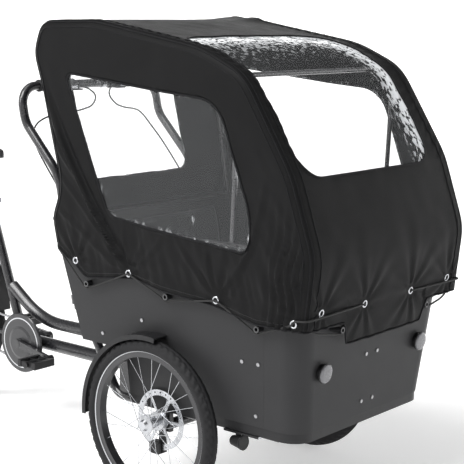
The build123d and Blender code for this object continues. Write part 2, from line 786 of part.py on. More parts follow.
side_points = rear_line + roof_points[1:-1] + side_hem
side_radii = [0] + rear_radii + [0] + roof_radii + [0, 70, 60, 200, 200, 40, 40]
for side, s in sides:
    with BuildPart() as canopy_side:
        with BuildSketch(Plane(origin=(0, s * canopy_half, 0), x_dir=(1, 0, 0), z_dir=(0, -1, 0))) as cloth:
            with BuildLine():
                FilletPolyline(*side_points, radius=side_radii, close=True)
            make_face()
            with BuildLine():
                FilletPolyline(*side_window, radius=side_window_radii, close=True)
            make_face(mode=Mode.SUBTRACT)
        extrude(cloth.sketch, amount=s * canopy_skin)
    canopy_side.part.label = f"canopy_side_{side}"
    export_step(canopy_side.part, f"parts/canopy_side_{side}.step")

# Clear film fills the windows, one sheet in each side, one over the roof and one behind.
with BuildPart() as canopy_windows:
    sweep_skin(roof_points, roof_radii, skin_half, film)
    window_block(
        roof_window_plane, roof_window_w - 2 * window_trim, roof_window_h - 2 * window_trim, 70, Mode.INTERSECT
    )
    for s in (-1, 1):
        inner_plane = Plane(origin=(0, s * (canopy_half - 1), 0), x_dir=(1, 0, 0), z_dir=(0, -1, 0))
        with BuildSketch(inner_plane) as pane:
            with BuildLine():
                FilletPolyline(*side_window, radius=side_window_radii, close=True)
            make_face()
            offset(amount=-window_trim, mode=Mode.REPLACE)
        extrude(pane.sketch, amount=s * film)
    waist_run = Vector(rear_upper[0] - rear_waist[0], 0, rear_upper[1] - rear_waist[1]).normalized()
    pane_x = rear_waist[0] + waist_run.X / waist_run.Z * (rear_window_z - rear_waist[1])
    rear_pane = Plane(origin=(pane_x, rear_window_y, rear_window_z), x_dir=(0, 1, 0), z_dir=(-waist_run.Z, 0, waist_run.X))
    with BuildSketch(rear_pane) as pane:
        RectangleRounded(rear_window_w - 2 * window_trim, rear_window_h - 10, 30)
    extrude(pane.sketch, amount=film / 2, both=True)
canopy_windows.part.label = "canopy_windows"
export_step(canopy_windows.part, "parts/canopy_windows.step")

# Eyelets along the hem, and the elastic cord that pulls it down to the pegs.
side_eyelets = [(-296, 691), (-76, 681), (255, 652), (520, 627)]
front_eyelets = [(-312, 650), (-115, 642), (115, 642), (312, 650)]
cord_r = 2.0
with BuildPart() as canopy_lacing:
    for s in (-1, 1):
        for dx, z in side_eyelets:
            centre = (front_axle_x + dx, s * (canopy_half + 0.1), z)
            with BuildSketch(Plane(origin=centre, x_dir=(1, 0, 0), z_dir=(0, s, 0))) as ring:
                Circle(8)
                Circle(4.5, mode=Mode.SUBTRACT)
            extrude(ring.sketch, amount=1.6)
    for y, z in front_eyelets:
        centre = Vector(front_skin_x(z), y, z) + front_out * (canopy_skin / 2 + 0.1)
        with BuildSketch(Plane(origin=centre, x_dir=(0, 1, 0), z_dir=front_out)) as ring:
            Circle(8)
            Circle(4.5, mode=Mode.SUBTRACT)
        extrude(ring.sketch, amount=1.6)
    peg_hook = 9 + cord_r + 0.4
    for s in (-1, 1):
        stretch_y = s * (canopy_half + 4.5)
        stops = [(front_axle_x - 365, 722)]
        for index, (dx, z) in enumerate(side_eyelets[1:]):
            stops.append((side_pegs[index][0], side_pegs[index][1] - peg_hook - 3))
            stops.append((front_axle_x + dx, z - 10))
        lace = [(x, stretch_y, z) for x, z in stops]
        corner = (front_skin_x(636) + 6.5, stretch_y, 636)
        far_end = (front_skin_x(640) + 6.5, s * 118, 640)
        add_tube(lace + [corner, far_end], cord_r, bends=[8] * len(lace))
        loop_x = front_face_at(front_peg_z) + 30
        turn_y = s * (front_peg_y - peg_hook)
        loop = [
            (front_axle_x + 524, s * 371, 620),
            (loop_x, s * 335, 595.7),
            (loop_x, turn_y, front_peg_z - peg_hook - 2.5),
            (loop_x, turn_y, front_peg_z + peg_hook - 1),
            (loop_x, s * 335, 612.8),
            (front_axle_x + 524, s * 371, 628),
        ]
        add_tube(loop, cord_r, bends=[20, peg_hook - 0.3, peg_hook - 0.3, 20])
canopy_lacing.part.label = "canopy_lacing"
export_step(canopy_lacing.part, "parts/canopy_lacing.step")

# ---------------------------------------------------------------- rear frame
seat_top_z = 760.0
clamp_x = seat_line_x(seat_top_z - 11) + 26
clamp_y = 27.0
clamp_z = seat_top_z - 11
with BuildPart() as seat_tube:
    add_rod((seat_line_x(285), 0, 285), (seat_line_x(seat_top_z), 0, seat_top_z), seat_tube_r)
    collar_z = seat_top_z - 22
    add_rod((seat_line_x(collar_z), 0, collar_z), (seat_line_x(seat_top_z), 0, seat_top_z), seat_tube_r + 4)
    cut_rod((seat_line_x(300), 0, 300), (seat_line_x(seat_top_z + 5), 0, seat_top_z + 5), seat_bore_r)
    add_block(
        (seat_line_x(seat_top_z - 11) + 16, -9, seat_top_z - 19),
        (seat_line_x(seat_top_z - 11) + 32, 9, seat_top_z - 3),
    )
    add_rod((clamp_x, -16, clamp_z), (clamp_x, clamp_y - 6.3, clamp_z), 3.5)
    cut_rod((seat_line_x(300), 0, 300), (seat_line_x(seat_top_z + 5), 0, seat_top_z + 5), seat_bore_r)
seat_tube.part.label = "seat_tube"
export_step(seat_tube.part, "parts/seat_tube.step")

upper_start_z = 458.0
with BuildPart() as upper_tube:
    add_tube(
        [
            (seat_line_x(upper_start_z) + seat_tube_r - 2, 0, upper_start_z - 7),
            (front_axle_x - 888, 0, 347),
            (kingpin_x - head_tube_r - 0.3, 0, 347),
        ],
        frame_tube_r,
        bends=330,
        bore=frame_tube_r - 3,
    )
    cut_rod((seat_line_x(380), 0, 380), (seat_line_x(520), 0, 520), seat_tube_r + 0.2)
upper_tube.part.label = "upper_tube"
export_step(upper_tube.part, "parts/upper_tube.step")

# The bottom bracket shell is welded across the rear end of the lower tube.
with BuildPart() as lower_tube:
    add_rod((crank_x, 0, crank_z), (kingpin_x - head_tube_r - 0.3, 0, 266), frame_tube_r + 1)
    add_rod((seat_line_x(280) - 14, 0, 272), (crank_x, 0, crank_z), frame_tube_r - 1)
    add_rod((crank_x, -36, crank_z), (crank_x, 36, crank_z), 27)
    cut_rod((crank_x, -40, crank_z), (crank_x, 40, crank_z), spindle_r + running_gap)
    cut_rod((seat_line_x(284.5), 0, 284.5), (seat_line_x(400), 0, 400), seat_tube_r + 0.2)
lower_tube.part.label = "lower_tube"
export_step(lower_tube.part, "parts/lower_tube.step")

with BuildPart() as head_tube:
    add_rod((kingpin_x, 0, head_bottom_z), (kingpin_x, 0, head_top_z), head_tube_r)
    for low, high in ((head_bottom_z, head_bottom_z + 5), (head_top_z - 5, head_top_z)):
        add_rod((kingpin_x, 0, low), (kingpin_x, 0, high), head_tube_r + 4)
    cut_rod((kingpin_x, 0, head_bottom_z - 1), (kingpin_x, 0, head_top_z + 1), kingpin_r + running_gap)
head_tube.part.label = "head_tube"
export_step(head_tube.part, "parts/head_tube.step")

stay_root_x = seat_line_x(275)
dropout_y = 70.0
with BuildPart() as chain_stays:
    for s in (-1, 1):
        add_rod((stay_root_x, s * 26.5, 274), (rear_axle_x + 20, s * (dropout_y - 2), rear_wheel_r - 2), 8.5)
        add_block(
            (rear_axle_x - 16, min(s * (dropout_y - 3), s * (dropout_y + 3)), rear_wheel_r - 18),
            (rear_axle_x + 30, max(s * (dropout_y - 3), s * (dropout_y + 3)), rear_wheel_r + 16),
        )
    add_rod((stay_root_x - 32, -29, 275), (stay_root_x - 32, 29, 275), 8.5)
    cut_rod((seat_line_x(250), 0, 250), (seat_line_x(330), 0, 330), frame_tube_r + 1.2)
    cut_rod((rear_axle_x, -90, rear_wheel_r), (rear_axle_x, 90, rear_wheel_r), rear_axle_r + 0.15)
    add_rod((rear_axle_x, -82, rear_wheel_r), (rear_axle_x, 82, rear_wheel_r), rear_axle_r)
chain_stays.part.label = "chain_stays"
export_step(chain_stays.part, "parts/chain_stays.step")

with BuildPart() as seat_stays:
    for s in (-1, 1):
        add_rod(
            (seat_line_x(690) - 6, s * 28, 690),
            (rear_axle_x + 4, s * (dropout_y + 4.5), rear_wheel_r + 17),
            7,
        )
    add_rod((seat_line_x(690) - 8, -28, 690), (seat_line_x(690) - 8, 28, 690), 7)
    cut_rod((seat_line_x(640), 0, 640), (seat_line_x(740), 0, 740), seat_tube_r + 0.2)
seat_stays.part.label = "seat_stays"
export_step(seat_stays.part, "parts/seat_stays.step")

fender_r = rear_wheel_r + 15.0
with BuildPart() as rear_fender:
    start_angle = radians(4)
    plane = Plane(
        origin=(rear_axle_x, 0, rear_wheel_r),
        x_dir=(0, 1, 0),
        z_dir=(sin(start_angle), 0, -cos(start_angle)),
    )
    with BuildSketch(plane) as arch:
        with Locations((0, fender_r - 1.5)):
            Rectangle(50, 3)
        for edge in (-1, 1):
            with Locations((edge * 24, fender_r - 7)):
                Rectangle(2, 12)
    revolve(arch.sketch, axis=Axis((rear_axle_x, 0, rear_wheel_r), (0, -1, 0)), revolution_arc=206)
    for s in (-1, 1):
        for angle in (150, 196):
            tip = (
                rear_axle_x + (fender_r - 6) * cos(radians(angle)),
                s * 26.5,
                rear_wheel_r + (fender_r - 6) * sin(radians(angle)),
            )
            add_rod((rear_axle_x - 6, s * (dropout_y + 9), rear_wheel_r + 8), tip, 2.5)
rear_fender.part.label = "rear_fender"
export_step(rear_fender.part, "parts/rear_fender.step")

# ---------------------------------------------------------------- rear wheel
rear_hub_axis = Axis((rear_axle_x, 0, rear_wheel_r), (0, 1, 0))
rear_plane = Plane(origin=(rear_axle_x, 0, rear_wheel_r), x_dir=(0, 1, 0), z_dir=(1, 0, 0))
rear_bead_r = rear_wheel_r - 2 * rear_tyre_section + 5.0
with BuildPart() as tyre_rear:
    with BuildSketch(rear_plane):
        with Locations((0, rear_wheel_r - rear_tyre_section)):
            Circle(rear_tyre_section)
            Circle(rear_tyre_section - tyre_wall, mode=Mode.SUBTRACT)
        with Locations((0, rear_bead_r - 20)):
            Rectangle(80, 40, mode=Mode.SUBTRACT)
    revolve(axis=rear_hub_axis)
tyre_rear.part.label = "tyre_rear"
export_step(tyre_rear.part, "parts/tyre_rear.step")

with BuildPart() as rim_rear:
    with BuildSketch(rear_plane):
        with Locations((0, rear_bead_r - 0.3 - rim_depth / 2)):
            Rectangle(rim_width, rim_depth)
        with Locations((0, rear_bead_r - 0.3 - (rim_depth - rim_wall) / 2)):
            Rectangle(rim_width - 2 * rim_wall, rim_depth - rim_wall, mode=Mode.SUBTRACT)
    revolve(axis=rear_hub_axis)
rim_rear.part.label = "rim_rear"
export_step(rim_rear.part, "parts/rim_rear.step")

with BuildPart() as hub_rear:
    with BuildSketch(rear_plane):
        with BuildLine():
            Polyline(
                (-38, rear_axle_r + running_gap),
                (-38, 20),
                (-33, 32),
                (-29, 32),
                (-25, 22),
                (25, 22),
                (29, 32),
                (33, 32),
                (38, 24),
                (58, 20),
                (58, rear_axle_r + running_gap),
                close=True,
            )
        make_face()
    revolve(axis=rear_hub_axis)
    add_spokes(rear_axle_x, rear_wheel_r, 33.6, (-31, 31), rear_bead_r - rim_depth - 0.8, 0, rear_spokes)
hub_rear.part.label = "hub_rear"
export_step(hub_rear.part, "parts/hub_rear.step")

# ---------------------------------------------------------------- drive
sprocket_teeth = 20
chainring_teeth = 38
with BuildPart() as sprocket:
    with BuildSketch(Plane(origin=(rear_axle_x, chain_y, rear_wheel_r), x_dir=(1, 0, 0), z_dir=(0, 1, 0))) as cog:
        Circle(sprocket_r)
        with PolarLocations(sprocket_r + 1.2, sprocket_teeth):
            Circle(3.6, mode=Mode.SUBTRACT)
    extrude(cog.sketch, amount=1.4, both=True)
    add_rod((rear_axle_x, chain_y - 6, rear_wheel_r), (rear_axle_x, chain_y + 6.4, rear_wheel_r), 21)
    cut_rod((rear_axle_x, -60, rear_wheel_r), (rear_axle_x, -30, rear_wheel_r), rear_axle_r + running_gap)
sprocket.part.label = "sprocket"
export_step(sprocket.part, "parts/sprocket.step")

with BuildPart() as chain:
    chain_plane = Plane(origin=(0, chain_y, 0), x_dir=(1, 0, 0), z_dir=(0, -1, 0))
    for inset, mode in ((chain_width, Mode.ADD), (0, Mode.SUBTRACT)):
        with BuildSketch(chain_plane) as loop:
            with Locations((crank_x, crank_z)):
                Circle(chainring_r + 0.8 + inset)
            with Locations((rear_axle_x, rear_wheel_r)):
                Circle(sprocket_r + 0.8 + inset)
            make_hull()
        extrude(loop.sketch, amount=chain_width / 2, both=True, mode=mode)
chain.part.label = "chain"
export_step(chain.part, "parts/chain.step")

# The right crank points forward and a little down, the left one back.
fall = radians(crank_fall)
pedal_dx = crank_length * cos(fall)
pedal_dz = crank_length * sin(fall)
with BuildPart() as cranks:
    add_rod((crank_x, -80, crank_z), (crank_x, 78, crank_z), spindle_r)
    for s in (-1, 1):
        hub_centre = (crank_x, s * 64, crank_z)
        add_rod(hub_centre, (crank_x, s * 80, crank_z), 17)
        eye = (crank_x - s * pedal_dx, s * 66, crank_z - s * pedal_dz)
        eye_out = (crank_x - s * pedal_dx, s * 80, crank_z - s * pedal_dz)
        add_rod(eye, eye_out, 13)
        arm_plane = Plane(origin=(crank_x, s * 73, crank_z), x_dir=(-s * cos(fall), 0, -s * sin(fall)), z_dir=(0, 1, 0))
        with BuildSketch(arm_plane) as arm:
            Trapezoid(30, crank_length, 87, rotation=-90, align=(Align.CENTER, Align.MIN))
        extrude(arm.sketch, amount=6, both=True)
        cut_rod(
            (crank_x - s * pedal_dx, s * 60, crank_z - s * pedal_dz),
            (crank_x - s * pedal_dx, s * 90, crank_z - s * pedal_dz),
            6 + running_gap,
        )
cranks.part.label = "cranks"
export_step(cranks.part, "parts/cranks.step")

with BuildPart() as chainring:
    with BuildSketch(Plane(origin=(crank_x, chain_y, crank_z), x_dir=(1, 0, 0), z_dir=(0, 1, 0))) as ring:
        Circle(chainring_r)
        with PolarLocations(chainring_r + 1.2, chainring_teeth):
            Circle(3.6, mode=Mode.SUBTRACT)
        with PolarLocations(44, 5):
            Circle(15, mode=Mode.SUBTRACT)
        Circle(spindle_r, mode=Mode.SUBTRACT)
    extrude(ring.sketch, amount=1.5, both=True)
    with BuildSketch(Plane(origin=(crank_x, -55, crank_z), x_dir=(0, 1, 0), z_dir=(1, 0, 0))) as cover:
        with BuildLine():
            Polyline(
                (0, spindle_r + 0.3),
                (0, guard_r - 4),
                (4, guard_r),
                (1, guard_r),
                (-3, guard_r - 3),
                (-4, 60),
                (-7, 50),
                (-7, spindle_r + 0.3),
                close=True,
            )
        make_face()
    revolve(cover.sketch, axis=Axis((crank_x, 0, crank_z), (0, 1, 0)))
chainring.part.label = "chainring"
export_step(chainring.part, "parts/chainring.step")

for side, s in sides:
    pedal_x = crank_x - s * pedal_dx
    pedal_z = crank_z - s * pedal_dz
    with BuildPart() as pedal:
        add_rod((pedal_x, s * 60.5, pedal_z), (pedal_x, s * 186, pedal_z), 6)
        add_rod((pedal_x, s * 82, pedal_z), (pedal_x, s * 186, pedal_z), 11)
        for offset_x in (-36, 36):
            with Locations((pedal_x + offset_x, s * 136, pedal_z)):
                Box(14, 88, 24)
        for offset_y in (98, 136, 174):
            with Locations((pedal_x, s * offset_y, pedal_z)):
                Box(64, 8, 18)
    pedal.part.label = f"pedal_{side}"
    export_step(pedal.part, f"parts/pedal_{side}.step")

# ---------------------------------------------------------------- saddle
post_top_z = saddle_z - 32
post_low_z = 590.0
saddle_x = seat_line_x(saddle_z) - 12
with BuildPart() as seat_post:
    add_rod((seat_line_x(post_low_z), 0, post_low_z), (seat_line_x(post_top_z), 0, post_top_z), seat_post_r)
    with Locations((seat_line_x(post_top_z), 0, post_top_z + 4)):
        Box(44, 40, 16)
    for s in (-1, 1):
        add_tube(
            [
                (saddle_x - 72, s * 34, saddle_z - 4.5),
                (saddle_x - 48, s * 22, post_top_z + 8),
                (saddle_x + 46, s * 22, post_top_z + 8),
                (saddle_x + 104, s * 10, saddle_z - 4.5),
            ],
            3.5,
            bends=22,
        )
seat_post.part.label = "seat_post"
export_step(seat_post.part, "parts/seat_post.step")

with BuildPart() as saddle:
    with BuildSketch(Plane.XY.offset(saddle_z)) as pad:
        with Locations((saddle_x + 128, 0)):
            Circle(20)
        with Locations((saddle_x - 64, -36), (saddle_x - 64, 36)):
            Circle(58)
        make_hull()
    extrude(pad.sketch, amount=30)
    extrude(saddle.faces().sort_by(Axis.Z)[-1], amount=16, taper=40)
saddle.part.label = "saddle"
export_step(saddle.part, "parts/saddle.step")

# The quick-release lever lies beside the seat collar and swings out about its cam pin.
with BuildPart() as clamp_lever:
    add_rod((clamp_x, clamp_y, clamp_z - 8), (clamp_x, clamp_y, clamp_z + 8), 6)
    add_rod((clamp_x - 3, clamp_y, clamp_z), (clamp_x - 52, clamp_y + 2, clamp_z - 2), 4)
clamp_lever.part.label = "clamp_lever"
export_step(clamp_lever.part, "parts/clamp_lever.step")
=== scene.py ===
"""Looks for the cargo cycle: canopy, cushions, saddle, tyres, chain, trim, materials and light."""

import math

import bmesh
import bpy
import numpy as np
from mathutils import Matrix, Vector


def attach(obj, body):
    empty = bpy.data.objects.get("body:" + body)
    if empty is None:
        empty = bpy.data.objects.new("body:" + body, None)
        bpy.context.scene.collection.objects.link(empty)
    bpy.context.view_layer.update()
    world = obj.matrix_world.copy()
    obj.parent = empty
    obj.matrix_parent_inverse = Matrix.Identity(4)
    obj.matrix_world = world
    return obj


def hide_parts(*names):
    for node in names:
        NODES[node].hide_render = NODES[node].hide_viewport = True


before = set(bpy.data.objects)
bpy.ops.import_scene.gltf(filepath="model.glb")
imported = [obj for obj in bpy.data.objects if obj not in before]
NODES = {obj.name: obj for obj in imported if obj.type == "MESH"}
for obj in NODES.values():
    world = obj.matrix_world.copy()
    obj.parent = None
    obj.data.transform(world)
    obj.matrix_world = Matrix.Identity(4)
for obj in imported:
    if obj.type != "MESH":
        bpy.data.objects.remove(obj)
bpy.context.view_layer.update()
BOX = "front_carriage"
AXLE = 0.600
SIDES = (("right", -1), ("left", 1))

# ---------------------------------------------------------------- camera and light
camera = bpy.data.objects.new("camera", bpy.data.cameras.new("camera"))
camera.data.lens = 100.07
camera.data.sensor_width = 36.0
camera.location = (3.08752, -2.94736, 1.40922)
camera.rotation_euler = (math.radians(80.48), 0.0, math.radians(40.29))
bpy.context.scene.collection.objects.link(camera)
bpy.context.view_layer.update()
camera.rotation_euler.rotate_axis("Z", math.radians(0.33))
bpy.context.scene.camera = camera
bpy.context.scene.view_settings.view_transform = "Standard"


def softbox(name, place, aim, size, watts):
    """A large soft area light."""
    light = bpy.data.lights.new(name, "AREA")
    light.shape = "RECTANGLE"
    light.size, light.size_y = size
    light.energy = watts
    obj = bpy.data.objects.new(name, light)
    obj.location = place
    obj.rotation_euler = (Vector(aim) - Vector(place)).to_track_quat("-Z", "Y").to_euler()
    bpy.context.scene.collection.objects.link(obj)


softbox("key", (-2.4, -4.4, 3.4), (0.4, 0.0, 0.7), (1.6, 2.2), 95)
softbox("top", (-0.4, -0.6, 4.6), (0.4, 0.0, 0.9), (2.6, 2.0), 35)
sun = bpy.data.objects.new("sun", bpy.data.lights.new("sun", "SUN"))
sun.data.energy = 2.6
sun.data.angle = math.radians(35)
sun.rotation_euler = Vector((0.12, 0.58, -0.80)).to_track_quat("-Z", "Y").to_euler()
bpy.context.scene.collection.objects.link(sun)
world = bpy.data.worlds.new("studio")
bpy.context.scene.world = world
world.use_nodes = True
world.node_tree.nodes["Background"].inputs["Color"].default_value = (1.0, 1.0, 1.0, 1.0)
world.node_tree.nodes["Background"].inputs["Strength"].default_value = 0.22


# ---------------------------------------------------------------- materials
def material(name, color, rough, metal=0.0, vary=0.12, scale=30.0, grain=400.0, bump=0.05, **shader):
    """A procedural material: mottled colour, uneven roughness and a fine relief."""
    m = bpy.data.materials.new(name)
    m.use_nodes = True
    tree = m.node_tree
    surface = tree.nodes["Principled BSDF"]
    surface.inputs["Metallic"].default_value = metal
    for key, value in shader.items():
        surface.inputs[key.replace("_", " ")].default_value = value
    place = tree.nodes.new("ShaderNodeTexCoord").outputs["Object"]
    tint = noise_node(tree, place, scale, 4)
    mix = tree.nodes.new("ShaderNodeMix")
    mix.data_type = "RGBA"
    mix.inputs["A"].default_value = (*[c * (1 - vary) for c in color], 1)
    mix.inputs["B"].default_value = (*[min(1.0, c * (1 + vary)) for c in color], 1)
    tree.links.new(tint, mix.inputs["Factor"])
    tree.links.new(mix.outputs["Result"], surface.inputs["Base Color"])
    uneven = tree.nodes.new("ShaderNodeMapRange")
    uneven.inputs["To Min"].default_value = max(0.02, rough * 0.85)
    uneven.inputs["To Max"].default_value = min(1.0, rough * 1.15)
    tree.links.new(noise_node(tree, place, scale * 2.3, 3), uneven.inputs["Value"])
    tree.links.new(uneven.outputs["Result"], surface.inputs["Roughness"])
    relief = tree.nodes.new("ShaderNodeBump")
    relief.inputs["Strength"].default_value = bump
    relief.inputs["Distance"].default_value = 0.001
    tree.links.new(noise_node(tree, place, grain, 2), relief.inputs["Height"])
    tree.links.new(relief.outputs["Normal"], surface.inputs["Normal"])
    return m


def noise_node(tree, place, scale, detail):
    """The output of one noise texture."""
    node = tree.nodes.new("ShaderNodeTexNoise")
    node.inputs["Scale"].default_value = scale
    node.inputs["Detail"].default_value = detail
    tree.links.new(place, node.inputs["Vector"])
    return node.outputs["Fac"]


def add_weave(m, period, strength):
    """Adds a plain weave's relief on top of a material's own."""
    tree = m.node_tree
    surface = tree.nodes["Principled BSDF"]
    below = surface.inputs["Normal"].links[0].from_socket
    place = next(n for n in tree.nodes if n.type == "TEX_COORD").outputs["Object"]
    heights = []
    for direction in ("X", "Y", "Z"):
        wave = tree.nodes.new("ShaderNodeTexWave")
        wave.bands_direction = direction
        wave.inputs["Scale"].default_value = 0.314 / period
        wave.inputs["Distortion"].default_value = 0.6
        tree.links.new(place, wave.inputs["Vector"])
        heights.append(wave.outputs["Fac"])
    total = heights[0]
    for height in heights[1:]:
        add = tree.nodes.new("ShaderNodeMath")
        tree.links.new(total, add.inputs[0])
        tree.links.new(height, add.inputs[1])
        total = add.outputs[0]
    relief = tree.nodes.new("ShaderNodeBump")
    relief.inputs["Strength"].default_value = strength
    relief.inputs["Distance"].default_value = 0.0004
    tree.links.new(total, relief.inputs["Height"])
    tree.links.new(below, relief.inputs["Normal"])
    tree.links.new(relief.outputs["Normal"], surface.inputs["Normal"])
    return m


paint = material(
    "frame_paint", (0.012, 0.012, 0.014), 0.28,
    vary=0.25, grain=900, bump=0.03, Coat_Weight=0.5, Coat_Roughness=0.12,
)
panel = material(
    "box_panel", (0.028, 0.028, 0.0292), 0.42,
    vary=0.07, scale=9, grain=1500, bump=0.12, Specular_IOR_Level=0.16,
)
trim = material(
    "trim_plastic", (0.012, 0.012, 0.013), 0.4,
    vary=0.2, scale=25, grain=1300, bump=0.15, Specular_IOR_Level=0.3,
)
rubber = material(
    "tyre_rubber", (0.011, 0.011, 0.012), 0.65,
    vary=0.25, scale=60, grain=700, bump=0.3, Specular_IOR_Level=0.25,
)
rim_black = material(
    "rim_black", (0.016, 0.016, 0.018), 0.33,
    vary=0.2, grain=900, bump=0.04, Coat_Weight=0.3,
)
alloy = material(
    "bright_alloy", (0.5, 0.51, 0.53), 0.26, metal=1.0,
    vary=0.1, scale=70, grain=600, bump=0.08,
)
steel = material("steel", (0.36, 0.36, 0.37), 0.34, metal=1.0, vary=0.14, scale=60, grain=900, bump=0.1)
grip = material("grip_rubber", (0.02, 0.02, 0.021), 0.75, vary=0.2, scale=90, grain=1200, bump=0.4)
hose = material("hose", (0.013, 0.013, 0.014), 0.38, vary=0.2, scale=120, grain=1500, bump=0.08)
cloth = material(
    "canopy_cloth", (0.0095, 0.0095, 0.0098), 0.42,
    vary=0.15, scale=9, grain=240, bump=0.3, Specular_IOR_Level=0.06,
)
add_weave(cloth, 0.0016, 0.12)
binding = material(
    "canopy_binding", (0.008, 0.008, 0.009), 0.55,
    vary=0.2, scale=60, grain=700, bump=0.25, Specular_IOR_Level=0.12,
)
add_weave(binding, 0.0022, 0.25)
cushion_cloth = material(
    "cushion_cloth", (0.03, 0.03, 0.033), 0.8,
    vary=0.2, scale=30, grain=500, bump=0.3, Sheen_Weight=0.3,
)
add_weave(cushion_cloth, 0.002, 0.4)
leather = material("saddle_cover", (0.02, 0.02, 0.021), 0.45, vary=0.2, scale=40, grain=650, bump=0.35)
elastic = material("elastic_cord", (0.01, 0.01, 0.01), 0.7, vary=0.25, scale=300, grain=1800, bump=0.5)
stripe = material(
    "sidewall_stripe", (0.55, 0.56, 0.58), 0.35, metal=0.4,
    vary=0.1, scale=90, grain=1500, bump=0.15,
)
lens = material(
    "reflector_lens", (0.11, 0.11, 0.12), 0.1,
    vary=0.45, scale=160, grain=330, bump=1.0, Coat_Weight=0.6,
)
thread = material("stitching", (0.05, 0.05, 0.052), 0.7, vary=0.2, scale=400, grain=2500, bump=0.5)


def film_material():
    """Clear film: see-through, with painted glare (pale, more opaque patches standing for light caught on
    creases), many more of them near its sewn edge.
    """
    m = material("clear_film", (0.82, 0.84, 0.86), 0.06, vary=0.04, scale=6, grain=60, bump=0.35)
    tree = m.node_tree
    surface = tree.nodes["Principled BSDF"]
    place = next(n for n in tree.nodes if n.type == "TEX_COORD").outputs["Object"]
    stretch = tree.nodes.new("ShaderNodeMapping")
    stretch.inputs["Rotation"].default_value = (0.4, 0.5, 0.2)
    stretch.inputs["Scale"].default_value = (1.0, 1.0, 0.3)
    tree.links.new(place, stretch.inputs["Vector"])
    glint_noise = noise_node(tree, stretch.outputs["Vector"], 80, 4)
    # the "rim" attribute is the painted glare mask: where it and the noise are high, the pale film turns
    # opaque as a painted reflection
    rim = tree.nodes.new("ShaderNodeAttribute")
    rim.attribute_name = "rim"
    push = tree.nodes.new("ShaderNodeMath")
    push.operation = "MULTIPLY_ADD"
    push.inputs[1].default_value = 0.2
    tree.links.new(rim.outputs["Fac"], push.inputs[0])
    tree.links.new(glint_noise, push.inputs[2])
    glint = tree.nodes.new("ShaderNodeMapRange")
    glint.inputs["From Min"].default_value = 0.6
    glint.inputs["From Max"].default_value = 0.68
    tree.links.new(push.outputs[0], glint.inputs["Value"])
    painted_glare = tree.nodes.new("ShaderNodeMath")
    painted_glare.operation = "MULTIPLY"
    tree.links.new(rim.outputs["Fac"], painted_glare.inputs[0])
    tree.links.new(glint.outputs["Result"], painted_glare.inputs[1])
    total = tree.nodes.new("ShaderNodeMath")
    total.operation = "MULTIPLY_ADD"
    total.inputs[1].default_value = 0.85
    total.inputs[2].default_value = 0.05
    total.use_clamp = True
    tree.links.new(painted_glare.outputs[0], total.inputs[0])
    tree.links.new(total.outputs[0], surface.inputs["Alpha"])
    return m


film = film_material()


def mask_by_radius(name, base, accent, centre, bands):
    """A material that turns from base to accent inside rings about an axis along Y."""
    m = base.copy()
    m.name = name
    tree = m.node_tree
    surface = tree.nodes["Principled BSDF"]
    place = next(n for n in tree.nodes if n.type == "TEX_COORD").outputs["Object"]
    flat = tree.nodes.new("ShaderNodeVectorMath")
    flat.operation = "MULTIPLY_ADD"
    flat.inputs[1].default_value = (1, 0, 1)
    flat.inputs[2].default_value = (-centre[0], 0, -centre[1])
    tree.links.new(place, flat.inputs[0])
    far = tree.nodes.new("ShaderNodeVectorMath")
    far.operation = "LENGTH"
    tree.links.new(flat.outputs[0], far.inputs[0])
    ramp = tree.nodes.new("ShaderNodeValToRGB")
    ramp.color_ramp.interpolation = "CONSTANT"
    stops = [(0.0, 0.0)] + [(edge, level) for low, high in bands for edge, level in ((low, 1.0), (high, 0.0))]
    ramp.color_ramp.elements.remove(ramp.color_ramp.elements[1])
    ramp.color_ramp.elements[0].position = 0.0
    ramp.color_ramp.elements[0].color = (0, 0, 0, 1)
    for edge, level in stops[1:]:
        stop = ramp.color_ramp.elements.new(edge)
        stop.color = (level, level, level, 1)
    tree.links.new(far.outputs["Value"], ramp.inputs["Fac"])
    below = surface.inputs["Base Color"].links[0].from_socket
    mix = tree.nodes.new("ShaderNodeMix")
    mix.data_type = "RGBA"
    tree.links.new(ramp.outputs["Color"], mix.inputs["Factor"])
    tree.links.new(below, mix.inputs["A"])
    mix.inputs["B"].default_value = (*accent, 1)
    tree.links.new(mix.outputs["Result"], surface.inputs["Base Color"])
    tree.links.new(ramp.outputs["Color"], surface.inputs["Metallic"])
    return m


LOOKS = {
    paint: "seat_tube upper_tube lower_tube head_tube chain_stays seat_stays chassis_rails axle_beam "
    "handlebar "
    "bar_brackets canopy_hoops cranks",
    panel: "box_side_right box_side_left box_front box_rear floor_boards bench_board",
    trim: "edge_trims front_fenders rear_fender cord_pegs lever_mounts twist_shifter brake_calipers "
    "headlight pedal_right pedal_left",
    rim_black: "rim_front_right rim_front_left rim_rear",
    alloy: "hub_front_right hub_front_left hub_rear brake_lever_right brake_lever_left bell bell_lever "
    "clamp_lever "
    "seat_post",
    steel: "stub_axles kingpin panel_screws sprocket chain",
    hose: "brake_cables",
}
for look, names in LOOKS.items():
    for node in names.split():
        NODES[node].data.materials.clear()
        NODES[node].data.materials.append(look)


pegs = NODES["cord_pegs"].data
# the pegs' small outward end faces get a lighter grey: a painted highlight
peg_end_highlight = material("peg_end_highlight", (0.06, 0.06, 0.062), 0.4, vary=0.2, scale=200, grain=1500, bump=0.2)
pegs.materials.append(peg_end_highlight)
for polygon in pegs.polygons:
    c = polygon.center
    outward = abs(polygon.normal.y) > 0.95 if abs(c.y) > 0.3 else polygon.normal.x > 0.95
    polygon.material_index = int(outward and polygon.area < 2e-4)
lamp = NODES["headlight"].data
lamp_lens = material(
    "lamp_lens", (0.55, 0.56, 0.58), 0.12, metal=0.7, vary=0.25, scale=220, grain=700, bump=0.5
)
lamp.materials.append(lamp_lens)
lamp_end = max(p.center.x for p in lamp.polygons)
for polygon in lamp.polygons:
    polygon.material_index = int(polygon.center.x > lamp_end - 0.004)

